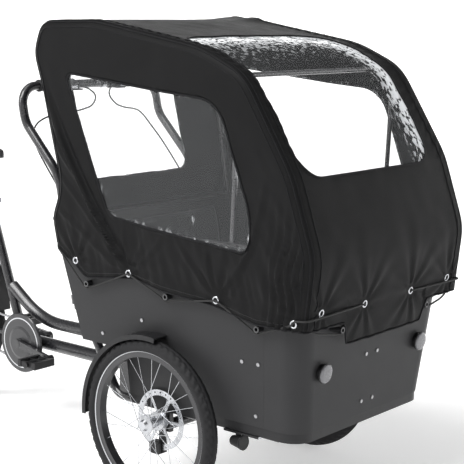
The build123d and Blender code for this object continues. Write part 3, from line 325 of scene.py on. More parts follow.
# ---------------------------------------------------------------- mesh helpers
def mesh_object(name, points, faces, look, body, slot=None, smooth=True):
    """A mesh piece that rides on a body."""
    mesh = bpy.data.meshes.new(name)
    mesh.from_pydata([tuple(map(float, p)) for p in points], [], [tuple(map(int, f)) for f in faces])
    mesh.update()
    obj = bpy.data.objects.new(name, mesh)
    bpy.context.scene.collection.objects.link(obj)
    mesh.materials.append(look)
    if smooth:
        mesh.polygons.foreach_set("use_smooth", [True] * len(mesh.polygons))
    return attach(obj, body)


def join_parts(parts):
    """Joins several (points, faces) into one."""
    points, faces, base = [], [], 0
    for p, f in parts:
        points += [tuple(q) for q in p]
        faces += [tuple(i + base for i in face) for face in f]
        base += len(p)
    return points, faces


def tube_part(line, radius, around=8, closed=False):
    """Points and faces of a round tube along a line of points."""
    line = np.asarray(line, float)
    count = len(line)
    ahead = np.roll(line, -1, 0) - np.roll(line, 1, 0)
    if not closed:
        ahead[0], ahead[-1] = line[1] - line[0], line[-1] - line[-2]
    ahead /= np.linalg.norm(ahead, axis=1)[:, None]
    side = np.cross(ahead[0], (0.31, 0.42, 0.85))
    points = []
    for p, d in zip(line, ahead):
        side = side - d * (side @ d)
        side /= np.linalg.norm(side)
        other = np.cross(d, side)
        for k in range(around):
            a = 2 * math.pi * k / around
            points.append(p + radius * (math.cos(a) * side + math.sin(a) * other))
    faces = []
    for i in range(count if closed else count - 1):
        for k in range(around):
            a, b = i * around, ((i + 1) % count) * around
            k2 = (k + 1) % around
            faces.append((a + k, a + k2, b + k2, b + k))
    if not closed:
        faces.append(tuple(range(around))[::-1])
        faces.append(tuple((count - 1) * around + k for k in range(around)))
    return points, faces


def lathe_part(profile, centre, axis, around=48, closed=False):
    """Points and faces of a profile of (along, radius) turned about an axis through centre."""
    axis = Vector(axis).normalized()
    side = axis.orthogonal().normalized()
    other = axis.cross(side)
    points = []
    for along, radius in profile:
        for k in range(around):
            a = 2 * math.pi * k / around
            point = Vector(centre) + axis * along + side * (radius * math.cos(a))
            points.append(point + other * (radius * math.sin(a)))
    faces = []
    rows = len(profile)
    for i in range(rows if closed else rows - 1):
        for k in range(around):
            a, b, k2 = i * around, ((i + 1) % rows) * around, (k + 1) % around
            faces.append((a + k, a + k2, b + k2, b + k))
    return points, faces


TABLE = np.random.default_rng(11).random((64, 64))


def wobble(x, y, size, seed=0):
    """Smooth noise from -1 to 1 with features of the given size."""
    x, y = np.asarray(x, float) / size + 17.3 * seed + 31, np.asarray(y, float) / size + 7.9 * seed + 31
    i, j = np.floor(x).astype(int), np.floor(y).astype(int)
    u, v = x - i, y - j
    u, v = u * u * (3 - 2 * u), v * v * (3 - 2 * v)
    a, b = TABLE[i % 64, j % 64], TABLE[(i + 1) % 64, j % 64]
    c, d = TABLE[i % 64, (j + 1) % 64], TABLE[(i + 1) % 64, (j + 1) % 64]
    return 2 * ((a * (1 - u) + b * u) * (1 - v) + (c * (1 - u) + d * u) * v) - 1


def ramp(x, low, high):
    """Smoothly from 0 at low to 1 at high."""
    t = np.clip((np.asarray(x, float) - low) / (high - low), 0, 1)
    return t * t * (3 - 2 * t)


def rounded(points, radii, closed=False, arc=10):
    """A polyline whose corners are rounded to the radii."""
    points = [np.array(p, float) for p in points]
    n = len(points)
    out = []
    for k in range(n):
        if not closed and k in (0, n - 1):
            out.append(points[k])
            continue
        p, a, b = points[k], points[k - 1], points[(k + 1) % n]
        r = radii[k] if closed else radii[k - 1]
        if r <= 0:
            out.append(p)
            continue
        d1, d2 = (a - p) / np.linalg.norm(a - p), (b - p) / np.linalg.norm(b - p)
        half = math.acos(float(np.clip(d1 @ d2, -1, 1))) / 2
        t = r / math.tan(half)
        centre = p + (d1 + d2) / np.linalg.norm(d1 + d2) * (r / math.sin(half))
        for w in np.linspace(0, 1, arc):
            q = (p + d1 * t) * (1 - w) + (p + d2 * t) * w
            out.append(centre + (q - centre) / np.linalg.norm(q - centre) * r)
    return np.array(out)


def resample(line, count):
    """The line with evenly spaced points."""
    steps = np.r_[0, np.cumsum(np.linalg.norm(np.diff(line, axis=0), axis=1))]
    at = np.linspace(0, steps[-1], count)
    return np.stack([np.interp(at, steps, line[:, k]) for k in range(line.shape[1])], 1)


def nearest(points, line, closed=False):
    """Nearest point on a polyline for each point, and the distance."""
    a = line
    b = np.roll(line, -1, 0)
    if not closed:
        a, b = a[:-1], b[:-1]
    best, where = np.full(len(points), 1e9), np.zeros((len(points), 2))
    for p, q in zip(a, b):
        d = q - p
        t = np.clip(((points - p) @ d) / max(d @ d, 1e-12), 0, 1)
        c = p + t[:, None] * d
        dist = np.linalg.norm(points - c, axis=1)
        closer = dist < best
        best[closer], where[closer] = dist[closer], c[closer]
    return where, best


def grid_quads(rows, columns):
    """Faces of a grid whose points are numbered row by row."""
    return [
        (i * columns + j, (i + 1) * columns + j, (i + 1) * columns + j + 1, i * columns + j + 1)
        for i in range(rows - 1)
        for j in range(columns - 1)
    ]


def inside(points, polygon):
    """Which points lie inside a closed polygon."""
    hit = np.zeros(len(points), bool)
    for p, q in zip(polygon, np.roll(polygon, -1, 0)):
        crosses = (p[1] > points[:, 1]) != (q[1] > points[:, 1])
        with np.errstate(divide="ignore", invalid="ignore"):
            x = p[0] + (points[:, 1] - p[1]) / (q[1] - p[1]) * (q[0] - p[0])
        hit ^= crosses & (points[:, 0] < x)
    return hit


# ---------------------------------------------------------------- canopy
def at(dx, z):
    """A side-view point, given from the front axle, in metres."""
    return (AXLE + dx / 1000, z / 1000)


HALF = 0.3795
ROUND = 0.026
OUTLINE = [at(-388, 728), at(-407, 812), at(-366, 905), at(-440, 1190), at(-478, 1300), at(-440, 1394)]
OUTLINE += [at(-214, 1398), at(190, 1330), at(345, 1262), at(505, 1010), at(576, 800), at(545, 543)]
RADII = [0.06, 0.15, 0.3, 0.08, 0.05, 0.3, 0.4, 0.17, 0.3, 0.16]
line = resample(rounded(OUTLINE, RADII), 900)
kernel = np.exp(-0.5 * (np.arange(-12, 13) / 5.0) ** 2)
kernel /= kernel.sum()
padded_line = np.pad(line, ((12, 12), (0, 0)), "reflect", reflect_type="odd")
line = np.stack([np.convolve(padded_line[:, k], kernel, "valid") for k in range(2)], 1)
S = np.r_[0, np.cumsum(np.linalg.norm(np.diff(line, axis=0), axis=1))]
LENGTH = S[-1]
ahead = np.gradient(line, S, axis=0)
ahead /= np.linalg.norm(ahead, axis=1)[:, None]
INWARD = np.stack([ahead[:, 1], -ahead[:, 0]], 1)


def profile(s):
    """Point and inward normal of the side outline at arc length s."""
    s = np.asarray(s, float)
    p = np.stack([np.interp(s, S, line[:, k]) for k in range(2)], -1)
    n = np.stack([np.interp(s, S, INWARD[:, k]) for k in range(2)], -1)
    return p, n / np.linalg.norm(n, axis=-1, keepdims=True)


def s_near(dx, z):
    """Arc length of the outline's point nearest to a side-view point."""
    return S[np.argmin(np.linalg.norm(line - np.array(at(dx, z)), axis=1))]


S_REAR, S_BROW = s_near(-455, 1380), s_near(350, 1258)
S_CORNER = S[np.argmax((line[:, 1] < 0.606) & (S > 1.5))]
EYES = [(AXLE - 0.296, 0.691), (AXLE - 0.076, 0.681), (AXLE + 0.255, 0.652), (AXLE + 0.520, 0.627)]
FRONT_EYES = [(-0.312, 0.650), (-0.115, 0.642), (0.115, 0.642), (0.312, 0.650)]
SIDE_WINDOW = rounded(
    [at(-338, 1246), at(-158, 838), at(20, 818), at(378, 786), at(372, 900), at(262, 1190), at(60, 1206)],
    [0.022, 0.06, 0, 0.04, 0.2, 0.11, 0],
    closed=True,
)


LONG_FOLDS = [
    ((AXLE - 0.452, 1.262), (AXLE - 0.082, 0.692), 0.030, 0.009, 0.0065),
    ((AXLE - 0.440, 1.205), (AXLE - 0.084, 0.692), 0.016, 0.009, 0.0070),
    ((AXLE - 0.428, 1.150), (AXLE - 0.088, 0.690), 0.002, 0.008, 0.0055),
    ((AXLE - 0.405, 1.060), (AXLE - 0.092, 0.686), -0.010, 0.008, 0.0050),
    ((AXLE - 0.385, 0.960), (AXLE - 0.098, 0.682), -0.008, 0.007, 0.0040),
    ((AXLE - 0.395, 0.850), (AXLE - 0.110, 0.680), -0.004, 0.008, 0.0035),
    ((AXLE - 0.100, 0.815), (AXLE - 0.072, 0.700), 0.004, 0.006, 0.0035),
    ((AXLE + 0.060, 0.800), (AXLE - 0.062, 0.692), -0.006, 0.008, 0.0040),
    ((AXLE + 0.110, 0.800), (AXLE + 0.246, 0.664), 0.008, 0.008, 0.0045),
    ((AXLE + 0.215, 0.780), (AXLE + 0.252, 0.666), 0.002, 0.006, 0.0040),
    ((AXLE + 0.400, 0.860), (AXLE + 0.264, 0.664), -0.010, 0.009, 0.0045),
    ((AXLE + 0.425, 1.000), (AXLE + 0.300, 0.665), -0.016, 0.009, 0.0035),
]


def crease(x, z, start, end, bow, width, height):
    """One raised fold along a bowed line."""
    along = np.array(end) - np.array(start)
    size = math.hypot(*along)
    along = along / size
    t = ((x - start[0]) * along[0] + (z - start[1]) * along[1]) / size
    off = (x - start[0]) * along[1] - (z - start[1]) * along[0]
    arch = bow * 4 * np.clip(t, 0, 1) * (1 - np.clip(t, 0, 1))
    slim = width * (1 - 0.45 * np.clip(t, 0, 1))
    ridge = np.exp(-(((off - arch) / slim) ** 2)) - 0.35 * np.exp(-(((off - arch + 1.9 * slim) / slim) ** 2))
    return height * ridge * ramp(t, -0.02, 0.14) * ramp(t, 1.03, 0.9)


def side_relief(x, z, seed=0):
    """How far the side cloth stands out (+) or in (-), in metres."""
    x, z = np.asarray(x, float), np.asarray(z, float)
    g = 0.0022 * wobble(x, z * 0.6, 0.17, 1 + seed) + 0.0008 * wobble(x, z, 0.05, 2 + seed)
    # long folds run from the rear edge, beside the window, down to the second eyelet
    for (x0, z0), (x1, z1), bow, width, height in LONG_FOLDS:
        g = g + crease(x, z, (x0, z0), (x1, z1), bow, width, height)
    # fans of tension folds above the eyelets
    for k, (ex, ez) in enumerate(EYES):
        dx, dz = x - ex, z - ez
        far = np.hypot(dx, dz)
        turn = np.arctan2(dz, dx)
        fan = np.cos(11 * turn + 1.3 * k) + 0.5 * np.cos(17 * turn + k)
        g = g + 0.0042 * fan * np.exp(-far / 0.085) * ramp(far, 0.006, 0.03) * ramp(dz, -0.03, 0.01)
        g = g - 0.004 * np.exp(-((far / 0.03) ** 2))
    # pleats gathered at the lower front corner
    pleat = ramp(x, AXLE + 0.40, AXLE + 0.49) * ramp(z, 1.0, 0.68)
    phase = (x - 0.12 * (z - 0.62)) / 0.027 + 0.5 * wobble(x, z, 0.09, 4)
    g = g + pleat * (0.0085 * np.sin(2 * math.pi * phase) + 0.002 * np.sin(4.6 * math.pi * phase + 1))
    # fine upright wrinkles below the window
    fine = ramp(z, 0.90, 0.78) * ramp(z, 0.60, 0.66)
    g = g + 0.0021 * fine * (1 - 2 * np.abs(wobble(x + 0.25 * z, z * 0.22, 0.021, 14)))
    g = g + 0.0016 * (1 - 2 * np.abs(wobble(x + 0.6 * z, z * 0.5, 0.06, 15))) * ramp(z, 1.34, 1.1)
    # the hem hangs a little proud between the pegs, and the cloth lies flat under each eyelet
    g = g + 0.003 * ramp(z, 0.74, 0.63) * np.sin((x - AXLE) * 19)
    for ex, ez in EYES:
        g = g * (1 - np.exp(-((np.hypot(x - ex, z - ez) / 0.019) ** 4)))
    return g


BUNCH = (-290, 1397)


def strip_relief(s, y):
    """How far the roof, rear and front cloth lies inside (+) its outline, in metres."""
    s, y = np.asarray(s, float), np.asarray(y, float)
    g = 0.0022 * wobble(s * 0.7, y, 0.18, 3) + 0.0007 * wobble(s, y, 0.05, 6)
    edge = ramp(np.abs(y), 0.30, 0.34) * ramp(np.abs(y), 0.376, 0.362)
    front = ramp(s, S_REAR + 0.1, S_REAR + 0.5)
    ribs = np.sin(2 * math.pi * (s + 0.35 * np.abs(y)) / 0.034 + 2.0 * wobble(s, y, 0.12, 7))
    g = g + 0.0032 * edge * front * ribs * (0.5 + 0.5 * wobble(s, y * 0, 0.2, 8))
    # the flap billows a little below the window
    low = ramp(s, LENGTH - 0.62, LENGTH - 0.3) * np.cos(np.clip(y / HALF, -1, 1) * math.pi / 2)
    g = g - 0.004 * low
    for k, (ey, ez) in enumerate(FRONT_EYES):
        es = s_near(560, ez * 1000)
        far = np.hypot(y - ey, s - es)
        turn = np.arctan2(es - s, y - ey)
        fan = np.cos(9 * turn + k) + 0.5 * np.cos(15 * turn + 2 * k)
        g = g + 0.0034 * fan * np.exp(-far / 0.09) * ramp(far, 0.006, 0.03)
        g = g + 0.003 * np.exp(-((far / 0.03) ** 2))
    first, second = s_near(BUNCH[0], BUNCH[1]), s_near(BUNCH[0] + 90, BUNCH[1])
    bunch = np.exp(-(((s - first) / 0.035) ** 2)) + 0.7 * np.exp(-(((s - second) / 0.03) ** 2))
    g = g - 0.008 * bunch * ramp(y, 0.2, 0.33)
    return g


def fade_seam(distance):
    """Relief dies out towards the seams."""
    return ramp(distance, 0.0, 0.045)


def side_point(x, z, s, lift=0.0):
    """The side cloth's place at a side-view point."""
    p = np.stack([np.atleast_1d(x), np.atleast_1d(z)], 1).astype(float)
    where, dist = nearest(p, line)
    toward = p - where
    size = np.linalg.norm(toward, axis=1)
    index = np.argmin(np.linalg.norm(line[None, ::4] - where[:, None], axis=2), axis=1) * 4
    toward = np.where(size[:, None] > 1e-4, toward / np.maximum(size, 1e-9)[:, None], INWARD[index])
    k = 1 - math.sqrt(0.5)
    near = np.where(dist < ROUND, k * ROUND + dist * (1 - k), dist)
    drop = ROUND - np.sqrt(np.maximum(ROUND**2 - (ROUND - np.minimum(near, ROUND)) ** 2, 0))
    moved = where + toward * near[:, None]
    y = HALF - drop + fade_seam(dist) * side_relief(p[:, 0], p[:, 1], 0 if s < 0 else 9) + lift
    return np.stack([moved[:, 0], s * y, moved[:, 1]], 1)


def strip_point(s, y, lift=0.0):
    """The roof strip's place at arc length s across at y."""
    s, y = np.broadcast_arrays(np.asarray(s, float), np.asarray(y, float))
    p, n = profile(s)
    e = HALF - np.abs(y)
    k = 1 - math.sqrt(0.5)
    near = np.where(e < ROUND, k * ROUND + e * (1 - k), e)
    drop = ROUND - np.sqrt(np.maximum(ROUND**2 - (ROUND - np.minimum(near, ROUND)) ** 2, 0))
    inset = drop + fade_seam(e) * strip_relief(s, y) - lift
    q = p + n * inset[..., None]
    return np.stack([q[..., 0], np.sign(y) * (HALF - near), q[..., 1]], -1)


NV, NU, NY = 104, 124, 101
HEM = rounded(
    [at(-388, 728), at(-345, 704), at(-245, 646), at(-60, 667)]
    + [at(62, 648), at(250, 632), at(395, 606), at(552, 606)],
    [0.03, 0.03, 0.08, 0.08, 0.05, 0.05],
)
rear_s = np.linspace(0, S_REAR, NV)
top_s = np.linspace(S_REAR, S_BROW, NU)
front_s = np.linspace(S_CORNER, S_BROW, NV)
rear_edge, top_edge, front_edge = profile(rear_s)[0], profile(top_s)[0], profile(front_s)[0]
hem_edge = resample(HEM, NU)
hem_edge[0], hem_edge[-1] = rear_edge[0], front_edge[0]
u, v = np.meshgrid(np.linspace(0, 1, NU), np.linspace(0, 1, NV), indexing="ij")
u2, v2 = u[..., None], v[..., None]
patch = (1 - v2) * hem_edge[:, None] + v2 * top_edge[:, None]
patch = patch + (1 - u2) * rear_edge[None] + u2 * front_edge[None]
corners = [hem_edge[0], hem_edge[-1], top_edge[0], top_edge[-1]]
lower = (1 - u2) * (1 - v2) * corners[0] + u2 * (1 - v2) * corners[1]
patch -= lower + (1 - u2) * v2 * corners[2] + u2 * v2 * corners[3]
grid_faces = grid_quads(NU, NV)

# the roof window in (across, along) and the rear window
ROOF_LOW, ROOF_HIGH = s_near(510, 997), s_near(66, 1352)


def window_outline(cx, cy, wide, tall, corner, waver):
    """A rounded rectangle with slightly wavy edges."""
    a, b = wide / 2, tall / 2
    base = rounded([(-a, -b), (a, -b), (a, b), (-a, b)], [corner] * 4, closed=True, arc=12)
    base = resample(np.vstack([base, base[:1]]), 161)[:-1]
    size = np.linalg.norm(base, axis=1)[:, None]
    count = np.arange(len(base)) * 2 * math.pi / len(base)
    wave = waver * (np.sin(9 * count + 1) + 0.6 * np.sin(17 * count + 2)) * (base[:, 1] < b * 0.9)
    return base * (1 + wave[:, None] / size) + np.array([cx, cy])


roof_window = window_outline(-0.022, (ROOF_LOW + ROOF_HIGH) / 2, 0.61, ROOF_LOW - ROOF_HIGH, 0.075, 0.0035)
rear_window = window_outline(-0.03, s_near(-410, 1077), 0.44, 0.335, 0.03, 0.001)


def cut_window(flat, faces, outline):
    """Drops the faces inside a window and moves the rim's points onto its outline."""
    flat = flat.copy()
    middle = np.array([flat[list(f)].mean(0) for f in faces])
    gone = inside(middle, outline)
    kept = [f for f, g in zip(faces, gone) if not g]
    lost = {i for f, g in zip(faces, gone) if g for i in f}
    used = {i for f in kept for i in f}
    rim = np.array(sorted(lost & used))
    flat[rim] = nearest(flat[rim], outline, closed=True)[0]
    return flat, kept


parts = []
side_flat, side_faces = cut_window(patch.reshape(-1, 2), grid_faces, SIDE_WINDOW)
for _, s in SIDES:
    points = side_point(side_flat[:, 0], side_flat[:, 1], s)
    parts.append((points, side_faces if s > 0 else [f[::-1] for f in side_faces]))
station = np.concatenate([rear_s, top_s[1:], front_s[::-1][1:]])
cross = np.linspace(-HALF, HALF, NY)
ss, yy = np.meshgrid(station, cross, indexing="ij")
reach = ramp(np.abs(yy), 0.205, 0.18) * np.clip((ss - S_BROW) / (S_CORNER - S_BROW), 0, 1) ** 5
ss = ss + reach * (LENGTH - S_CORNER)
strip_faces = grid_quads(len(station), NY)
strip_flat = np.stack([yy.ravel(), ss.ravel()], 1)
strip_flat, strip_faces = cut_window(strip_flat, strip_faces, roof_window)
strip_flat, strip_faces = cut_window(strip_flat, strip_faces, rear_window)
parts.append((strip_point(strip_flat[:, 1], strip_flat[:, 0]), [f[::-1] for f in strip_faces]))
canopy = mesh_object("canopy_cover", *join_parts(parts), cloth, BOX, "canopy_cloth")
work = bmesh.new()
work.from_mesh(canopy.data)
bmesh.ops.remove_doubles(work, verts=work.verts, dist=0.0006)
loose = [v for v in work.verts if not v.link_faces]
bmesh.ops.delete(work, geom=loose, context="VERTS")
bmesh.ops.recalc_face_normals(work, faces=work.faces)
area = sum(f.calc_area() for f in work.faces)
work.to_mesh(canopy.data)
work.free()
skin = canopy.modifiers.new("thickness", "SOLIDIFY")
skin.thickness = 0.0014
skin.offset = -1.0
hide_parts("canopy_roof", "canopy_rear", "canopy_side_right", "canopy_side_left")


FILM_PUSH = 0.0024


def film_piece(name, outline, place, glare_mask):
    """A sheet of film that fills a window, a little larger than its opening."""
    low, high = outline.min(0) - 0.01, outline.max(0) + 0.01
    step = 0.009
    nx, ny = [int((b - a) / step) + 2 for a, b in zip(low, high)]
    gx, gy = np.meshgrid(np.linspace(low[0], high[0], nx), np.linspace(low[1], high[1], ny), indexing="ij")
    flat = np.stack([gx.ravel(), gy.ravel()], 1)
    middle = outline.mean(0)
    grown = middle + (outline - middle) * 1.02
    quads = grid_quads(nx, ny)
    centres = np.array([flat[list(f)].mean(0) for f in quads])
    held = inside(centres, grown)
    quads = [f for f, h in zip(quads, held) if h]
    used = sorted({i for f in quads for i in f})
    number = {old: new for new, old in enumerate(used)}
    _, rim = nearest(flat[used], outline, closed=True)
    crease = 0.0012 * wobble(flat[used][:, 0], flat[used][:, 1], 0.022, 12) * ramp(rim, 0.0, 0.01)
    crease += 0.0022 * wobble(flat[used][:, 0], flat[used][:, 1] * 0.5, 0.07, 13) * ramp(rim, 0.0, 0.03)
    crease *= inside(flat[used], outline)
    points = place(flat[used], -FILM_PUSH + crease)
    obj = mesh_object(name, points, [tuple(number[i] for i in f) for f in quads], film, BOX, "clear_film")
    # the "rim" attribute carries the painted glare mask, which the film material turns into pale opaque
    # patches
    glare_attribute = obj.data.attributes.new("rim", "FLOAT", "POINT")
    glare_attribute.data.foreach_set("value", glare_mask(flat[used], rim).astype(np.float32))
    return obj


def on_side(s):
    """Places flat points on a side of the canopy."""
    return lambda flat, lift: side_point(flat[:, 0], flat[:, 1], s, lift)


def on_strip(flat, lift):
    """Places flat points on the roof strip."""
    return strip_point(flat[:, 1], flat[:, 0], lift)


def edge_glare(flat, rim):
    """Painted glare mask for the film: strong at the sewn edge where it is creased, and faint upright streaks
    low in the pane.
    """
    low = ramp(flat[:, 1], 0.99, 0.82) * ramp(flat[:, 0], AXLE - 0.05, AXLE + 0.3)
    glare_streaks = ramp(wobble(flat[:, 0] + 0.15 * flat[:, 1], flat[:, 1] * 0.08, 0.011, 21), 0.25, 0.8)
    return np.clip(0.5 * np.exp(-rim / 0.008) + 0.5 * low * glare_streaks, 0, 0.7)


def roof_glare(flat, _rim):
    """Painted glare mask for the roof film: strong along its upper edge and along the left side, thin
    elsewhere.
    """
    top = np.exp(-((flat[:, 1] - ROOF_HIGH) / 0.15) ** 2)
    left = np.exp(-(((flat[:, 0] - roof_window[:, 0].max()) / 0.075) ** 2))
    return np.clip(1.2 * top + 1.1 * left, 0, 1.15)


films = [film_piece(f"film_side_{name}", SIDE_WINDOW, on_side(s), edge_glare) for name, s in SIDES]
films.append(film_piece("film_roof", roof_window, on_strip, roof_glare))
films.append(film_piece("film_rear", rear_window, on_strip, edge_glare))
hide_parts("canopy_windows")


RIBBON = [(-0.15, 0.0002), (-0.1, 0.0016), (0.1, 0.0019), (0.5, 0.0016), (0.92, 0.0016), (1.0, 0.0002)]
BINDING_WIDTH = 0.005


def ribbon(outline, place):
    """A bound edge: a narrow raised band along an outline that lies on the cloth."""
    dense = resample(np.vstack([outline, outline[:1]]), 260)[:-1]
    run = np.roll(dense, -1, 0) - np.roll(dense, 1, 0)
    run /= np.linalg.norm(run, axis=1)[:, None]
    out = np.stack([run[:, 1], -run[:, 0]], 1)
    rows = []
    for offset, lift in RIBBON:
        rows.append(place(dense + out * offset * BINDING_WIDTH, np.full(len(dense), lift)))
    n = len(dense)
    faces = []
    for i in range(len(rows) - 1):
        for k in range(n):
            k2 = (k + 1) % n
            faces.append((i * n + k, i * n + k2, (i + 1) * n + k2, (i + 1) * n + k))
    return np.vstack(rows), faces


bound = [ribbon(SIDE_WINDOW[::-1], on_side(s)) for _, s in SIDES]
bound += [ribbon(roof_window, on_strip), ribbon(rear_window, on_strip)]
bindings = mesh_object("window_bindings", *join_parts(bound), binding, BOX, "canopy_cloth")

# piping along both seams, a second row beside it on each panel, and the rolled hem
SEAM_STEPS = 420
seam_s = np.linspace(0.004, S_CORNER - 0.004, SEAM_STEPS)
piping = []
for _, s in SIDES:
    for inset, radius, around in ((0.0, 0.0023, 8), (0.012, 0.0015, 6), (0.042, 0.0015, 6)):
        across = np.full(SEAM_STEPS, s * (HALF - inset))
        piping.append(tube_part(strip_point(seam_s, across, 0.0008), radius, around))
    inner = profile(seam_s)[0] + profile(seam_s)[1] * 0.020
    piping.append(tube_part(side_point(inner[:, 0], inner[:, 1], s, 0.0005), 0.0014, 6))
    roll = side_point(hem_edge[:, 0], hem_edge[:, 1] + 0.001, s, 0.0)
    piping.append(tube_part(roll, 0.0026))
hem_rows = strip_point(ss[-1], cross)
piping.append(tube_part(hem_rows, 0.0026))
piping.append(tube_part(strip_point(np.full(NY, 0.0015), cross), 0.0026))
mesh_object("canopy_piping", *join_parts(piping), binding, BOX, "canopy_cloth")

# rows of stitches beside the hem
stitches = []
for _, s in SIDES:
    row = resample(HEM + np.array([0, 0.014]), 300)
    placed = side_point(row[:, 0], row[:, 1], s, 0.0006)
    stitches += [tube_part(placed[k : k + 2], 0.0005, 5) for k in range(4, 296, 2)]
mesh_object("hem_stitches", *join_parts(stitches), thread, BOX, "canopy_cloth")

# eyelets pressed into the hem
EYE = [(-0.0009, 0.0062), (0.0014, 0.0060), (0.0023, 0.0072), (0.0026, 0.0090)]
EYE += [(0.0020, 0.0108), (0.0003, 0.0116), (-0.0009, 0.0112)]
rings = []
for _, s in SIDES:
    for x, z in EYES:
        centre = side_point(x, z, s, 0.0006)[0]
        rings.append(lathe_part(EYE, centre, (0, s, 0), 28, closed=True))
front_eye_points = []
for y, z in FRONT_EYES:
    eye_s = s_near(560, z * 1000)
    centre = strip_point(eye_s, y, 0.0006)
    out = -profile(eye_s)[1]
    front_eye_points.append(centre)
    rings.append(lathe_part(EYE, centre, (out[0], 0, out[1]), 28, closed=True))
mesh_object("eyelets", *join_parts(rings), alloy, BOX, "bright_alloy")


def half_width(z):
    """Half the outer width of the box at height z, in metres."""
    return 0.312 + 0.125 * (z - 0.2985)


def cord_line(points, count):
    """A smooth line through a cord's route."""
    data = bpy.data.curves.new("route", "CURVE")
    data.dimensions = "3D"
    spline = data.splines.new("NURBS")
    spline.points.add(len(points) - 1)
    for target, p in zip(spline.points, points):
        target.co = (*p, 1.0)
    spline.order_u = 3
    spline.use_endpoint_u = True
    spline.resolution_u = 10
    obj = bpy.data.objects.new("route", data)
    mesh = bpy.data.meshes.new_from_object(obj)
    line = np.array([v.co for v in mesh.vertices])
    bpy.data.objects.remove(obj)
    return resample(line, count)


# the elastic cord runs from the hem to each peg, under it, and back up through the next eyelet
PEGS = [(AXLE - 0.259, 0.624), (AXLE + 0.062, 0.631), (AXLE + 0.388, 0.590)]
CORD_R = 0.0028
cords = []
for _, s in SIDES:
    stops = [tuple(side_point(AXLE - 0.372, 0.722, s, 0.003)[0])]
    for k, (px, pz) in enumerate(PEGS):
        y = s * (half_width(pz) + 0.016)
        before = stops[-1]
        stops.append((px - 0.019, y + (before[1] - y) * 0.06, pz - 0.004))
        stops += [(px - 0.010, y, pz - 0.0125), (px + 0.005, y, pz - 0.0135), (px + 0.016, y, pz - 0.0085)]
        ex, ez = EYES[k + 1]
        eye = side_point(ex, ez, s, 0.0045)[0]
        near_eye = np.array([px + 0.016, y, pz - 0.0085]) * 0.12 + eye * 0.88
        stops.append(tuple(near_eye + np.array([0, 0, -0.0016])))
        stops.append((eye[0], eye[1], eye[2]))
        if k < len(PEGS) - 1:
            stops.append((eye[0] + 0.012, eye[1] + s * 0.001, eye[2] - 0.004))
    corner = strip_point(s_near(560, 636), s * HALF, 0.006)
    stops.append((corner[0] - 0.03, s * (HALF + 0.006), corner[2] + 0.002))
    stops.append((corner[0] + 0.003, s * (HALF + 0.001), corner[2] + 0.003))
    stops.append((corner[0] + 0.009, s * (HALF - 0.03), corner[2] + 0.004))
    target = front_eye_points[1] if s < 0 else front_eye_points[2]
    stops.append((target[0] + 0.006, target[1] + s * 0.02, target[2] + 0.0005))
    stops.append((target[0] + 0.001, target[1], target[2]))
    cords.append(tube_part(cord_line(stops, 420), CORD_R))
    x0 = 1.089 + 0.098 * (0.586 - 0.2985) + 0.030
    hook = [(AXLE + 0.524, s * 0.371, 0.622), (x0, s * 0.335, 0.5957), (x0, s * 0.225, 0.5767)]
    hook += [(x0, s * 0.209, 0.5740), (x0, s * 0.1965, 0.5775), (x0, s * 0.1965, 0.5950)]
    hook += [(x0, s * 0.209, 0.5985), (x0, s * 0.225, 0.5998)]
    hook += [(x0, s * 0.335, 0.6128), (AXLE + 0.524, s * 0.371, 0.629)]
    cords.append(tube_part(cord_line(hook, 200), CORD_R))
lacing = mesh_object("elastic_lacing", *join_parts(cords), elastic, BOX)
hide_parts("canopy_lacing")


# ---------------------------------------------------------------- tyres
def tyre(name, node, body, centre, radius, section, knobs):
    """A treaded tyre with a bright sidewall stripe."""
    around, steps = 44, knobs * 5
    points, faces, bright = [], [], []
    for i in range(steps):
        turn = 2 * math.pi * i / steps
        phase = (i % 5) / 5
        for k in range(around):
            a = 2 * math.pi * k / around - math.pi
            side = abs(math.degrees(a))
            lift = 0.0
            if side < 9:
                lift = 0.0
            elif side < 17:
                lift = -0.0030
            elif side < 36:
                lift = 0.0 if (phase + (0.5 if a > 0 else 0.0)) % 1 < 0.6 else -0.0032
            elif side < 42:
                lift = -0.0018
            elif side < 66:
                lift = 0.0 if (phase + (0.0 if a > 0 else 0.5)) % 1 < 0.6 else -0.0030
            elif side < 78:
                lift = -0.0006
            r = radius - section + (section + lift) * math.cos(a)
            y = centre[1] + (section + lift) * math.sin(a)
            points.append((centre[0] + r * math.cos(turn), y, centre[2] + r * math.sin(turn)))
    for i in range(steps):
        for k in range(around):
            a, b, k2 = i * around, ((i + 1) % steps) * around, (k + 1) % around
            faces.append((a + k, b + k, b + k2, a + k2))
            bright.append(k in (5, around - 6))
    inner = [k for k in range(around) if abs(2 * math.pi * (k + 0.5) / around - math.pi) > math.radians(151)]
    keep = [n for n in range(len(faces)) if (n % around) not in inner]
    obj = mesh_object(name, points, [faces[n] for n in keep], rubber, body, "tyre_rubber")
    obj.data.materials.append(stripe)
    for polygon, n in zip(obj.data.polygons, keep):
        polygon.material_index = 1 if bright[n] else 0
    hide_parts(node)


for name, s in SIDES:
    hub = (AXLE, s * 0.371, 0.25)
    tyre(f"treaded_tyre_{name}", f"tyre_front_{name}", f"front_wheel_{name}", hub, 0.25, 0.022, 60)
tyre("treaded_tyre_rear", "tyre_rear", "rear_wheel", (-0.83, 0, 0.33), 0.33, 0.024, 80)

# ---------------------------------------------------------------- drive
SILVER_RINGS = [(0.084, 0.0875), (0.1, 0.1015)]
guard = mask_by_radius("guard", rim_black, (0.6, 0.61, 0.63), (-0.335, 0.268), SILVER_RINGS)
NODES["chainring"].data.materials.clear()
NODES["chainring"].data.materials.append(guard)


ROLLER = [(-0.0034, 0.0018), (-0.002, 0.0038), (0.002, 0.0038), (0.0034, 0.0018)]


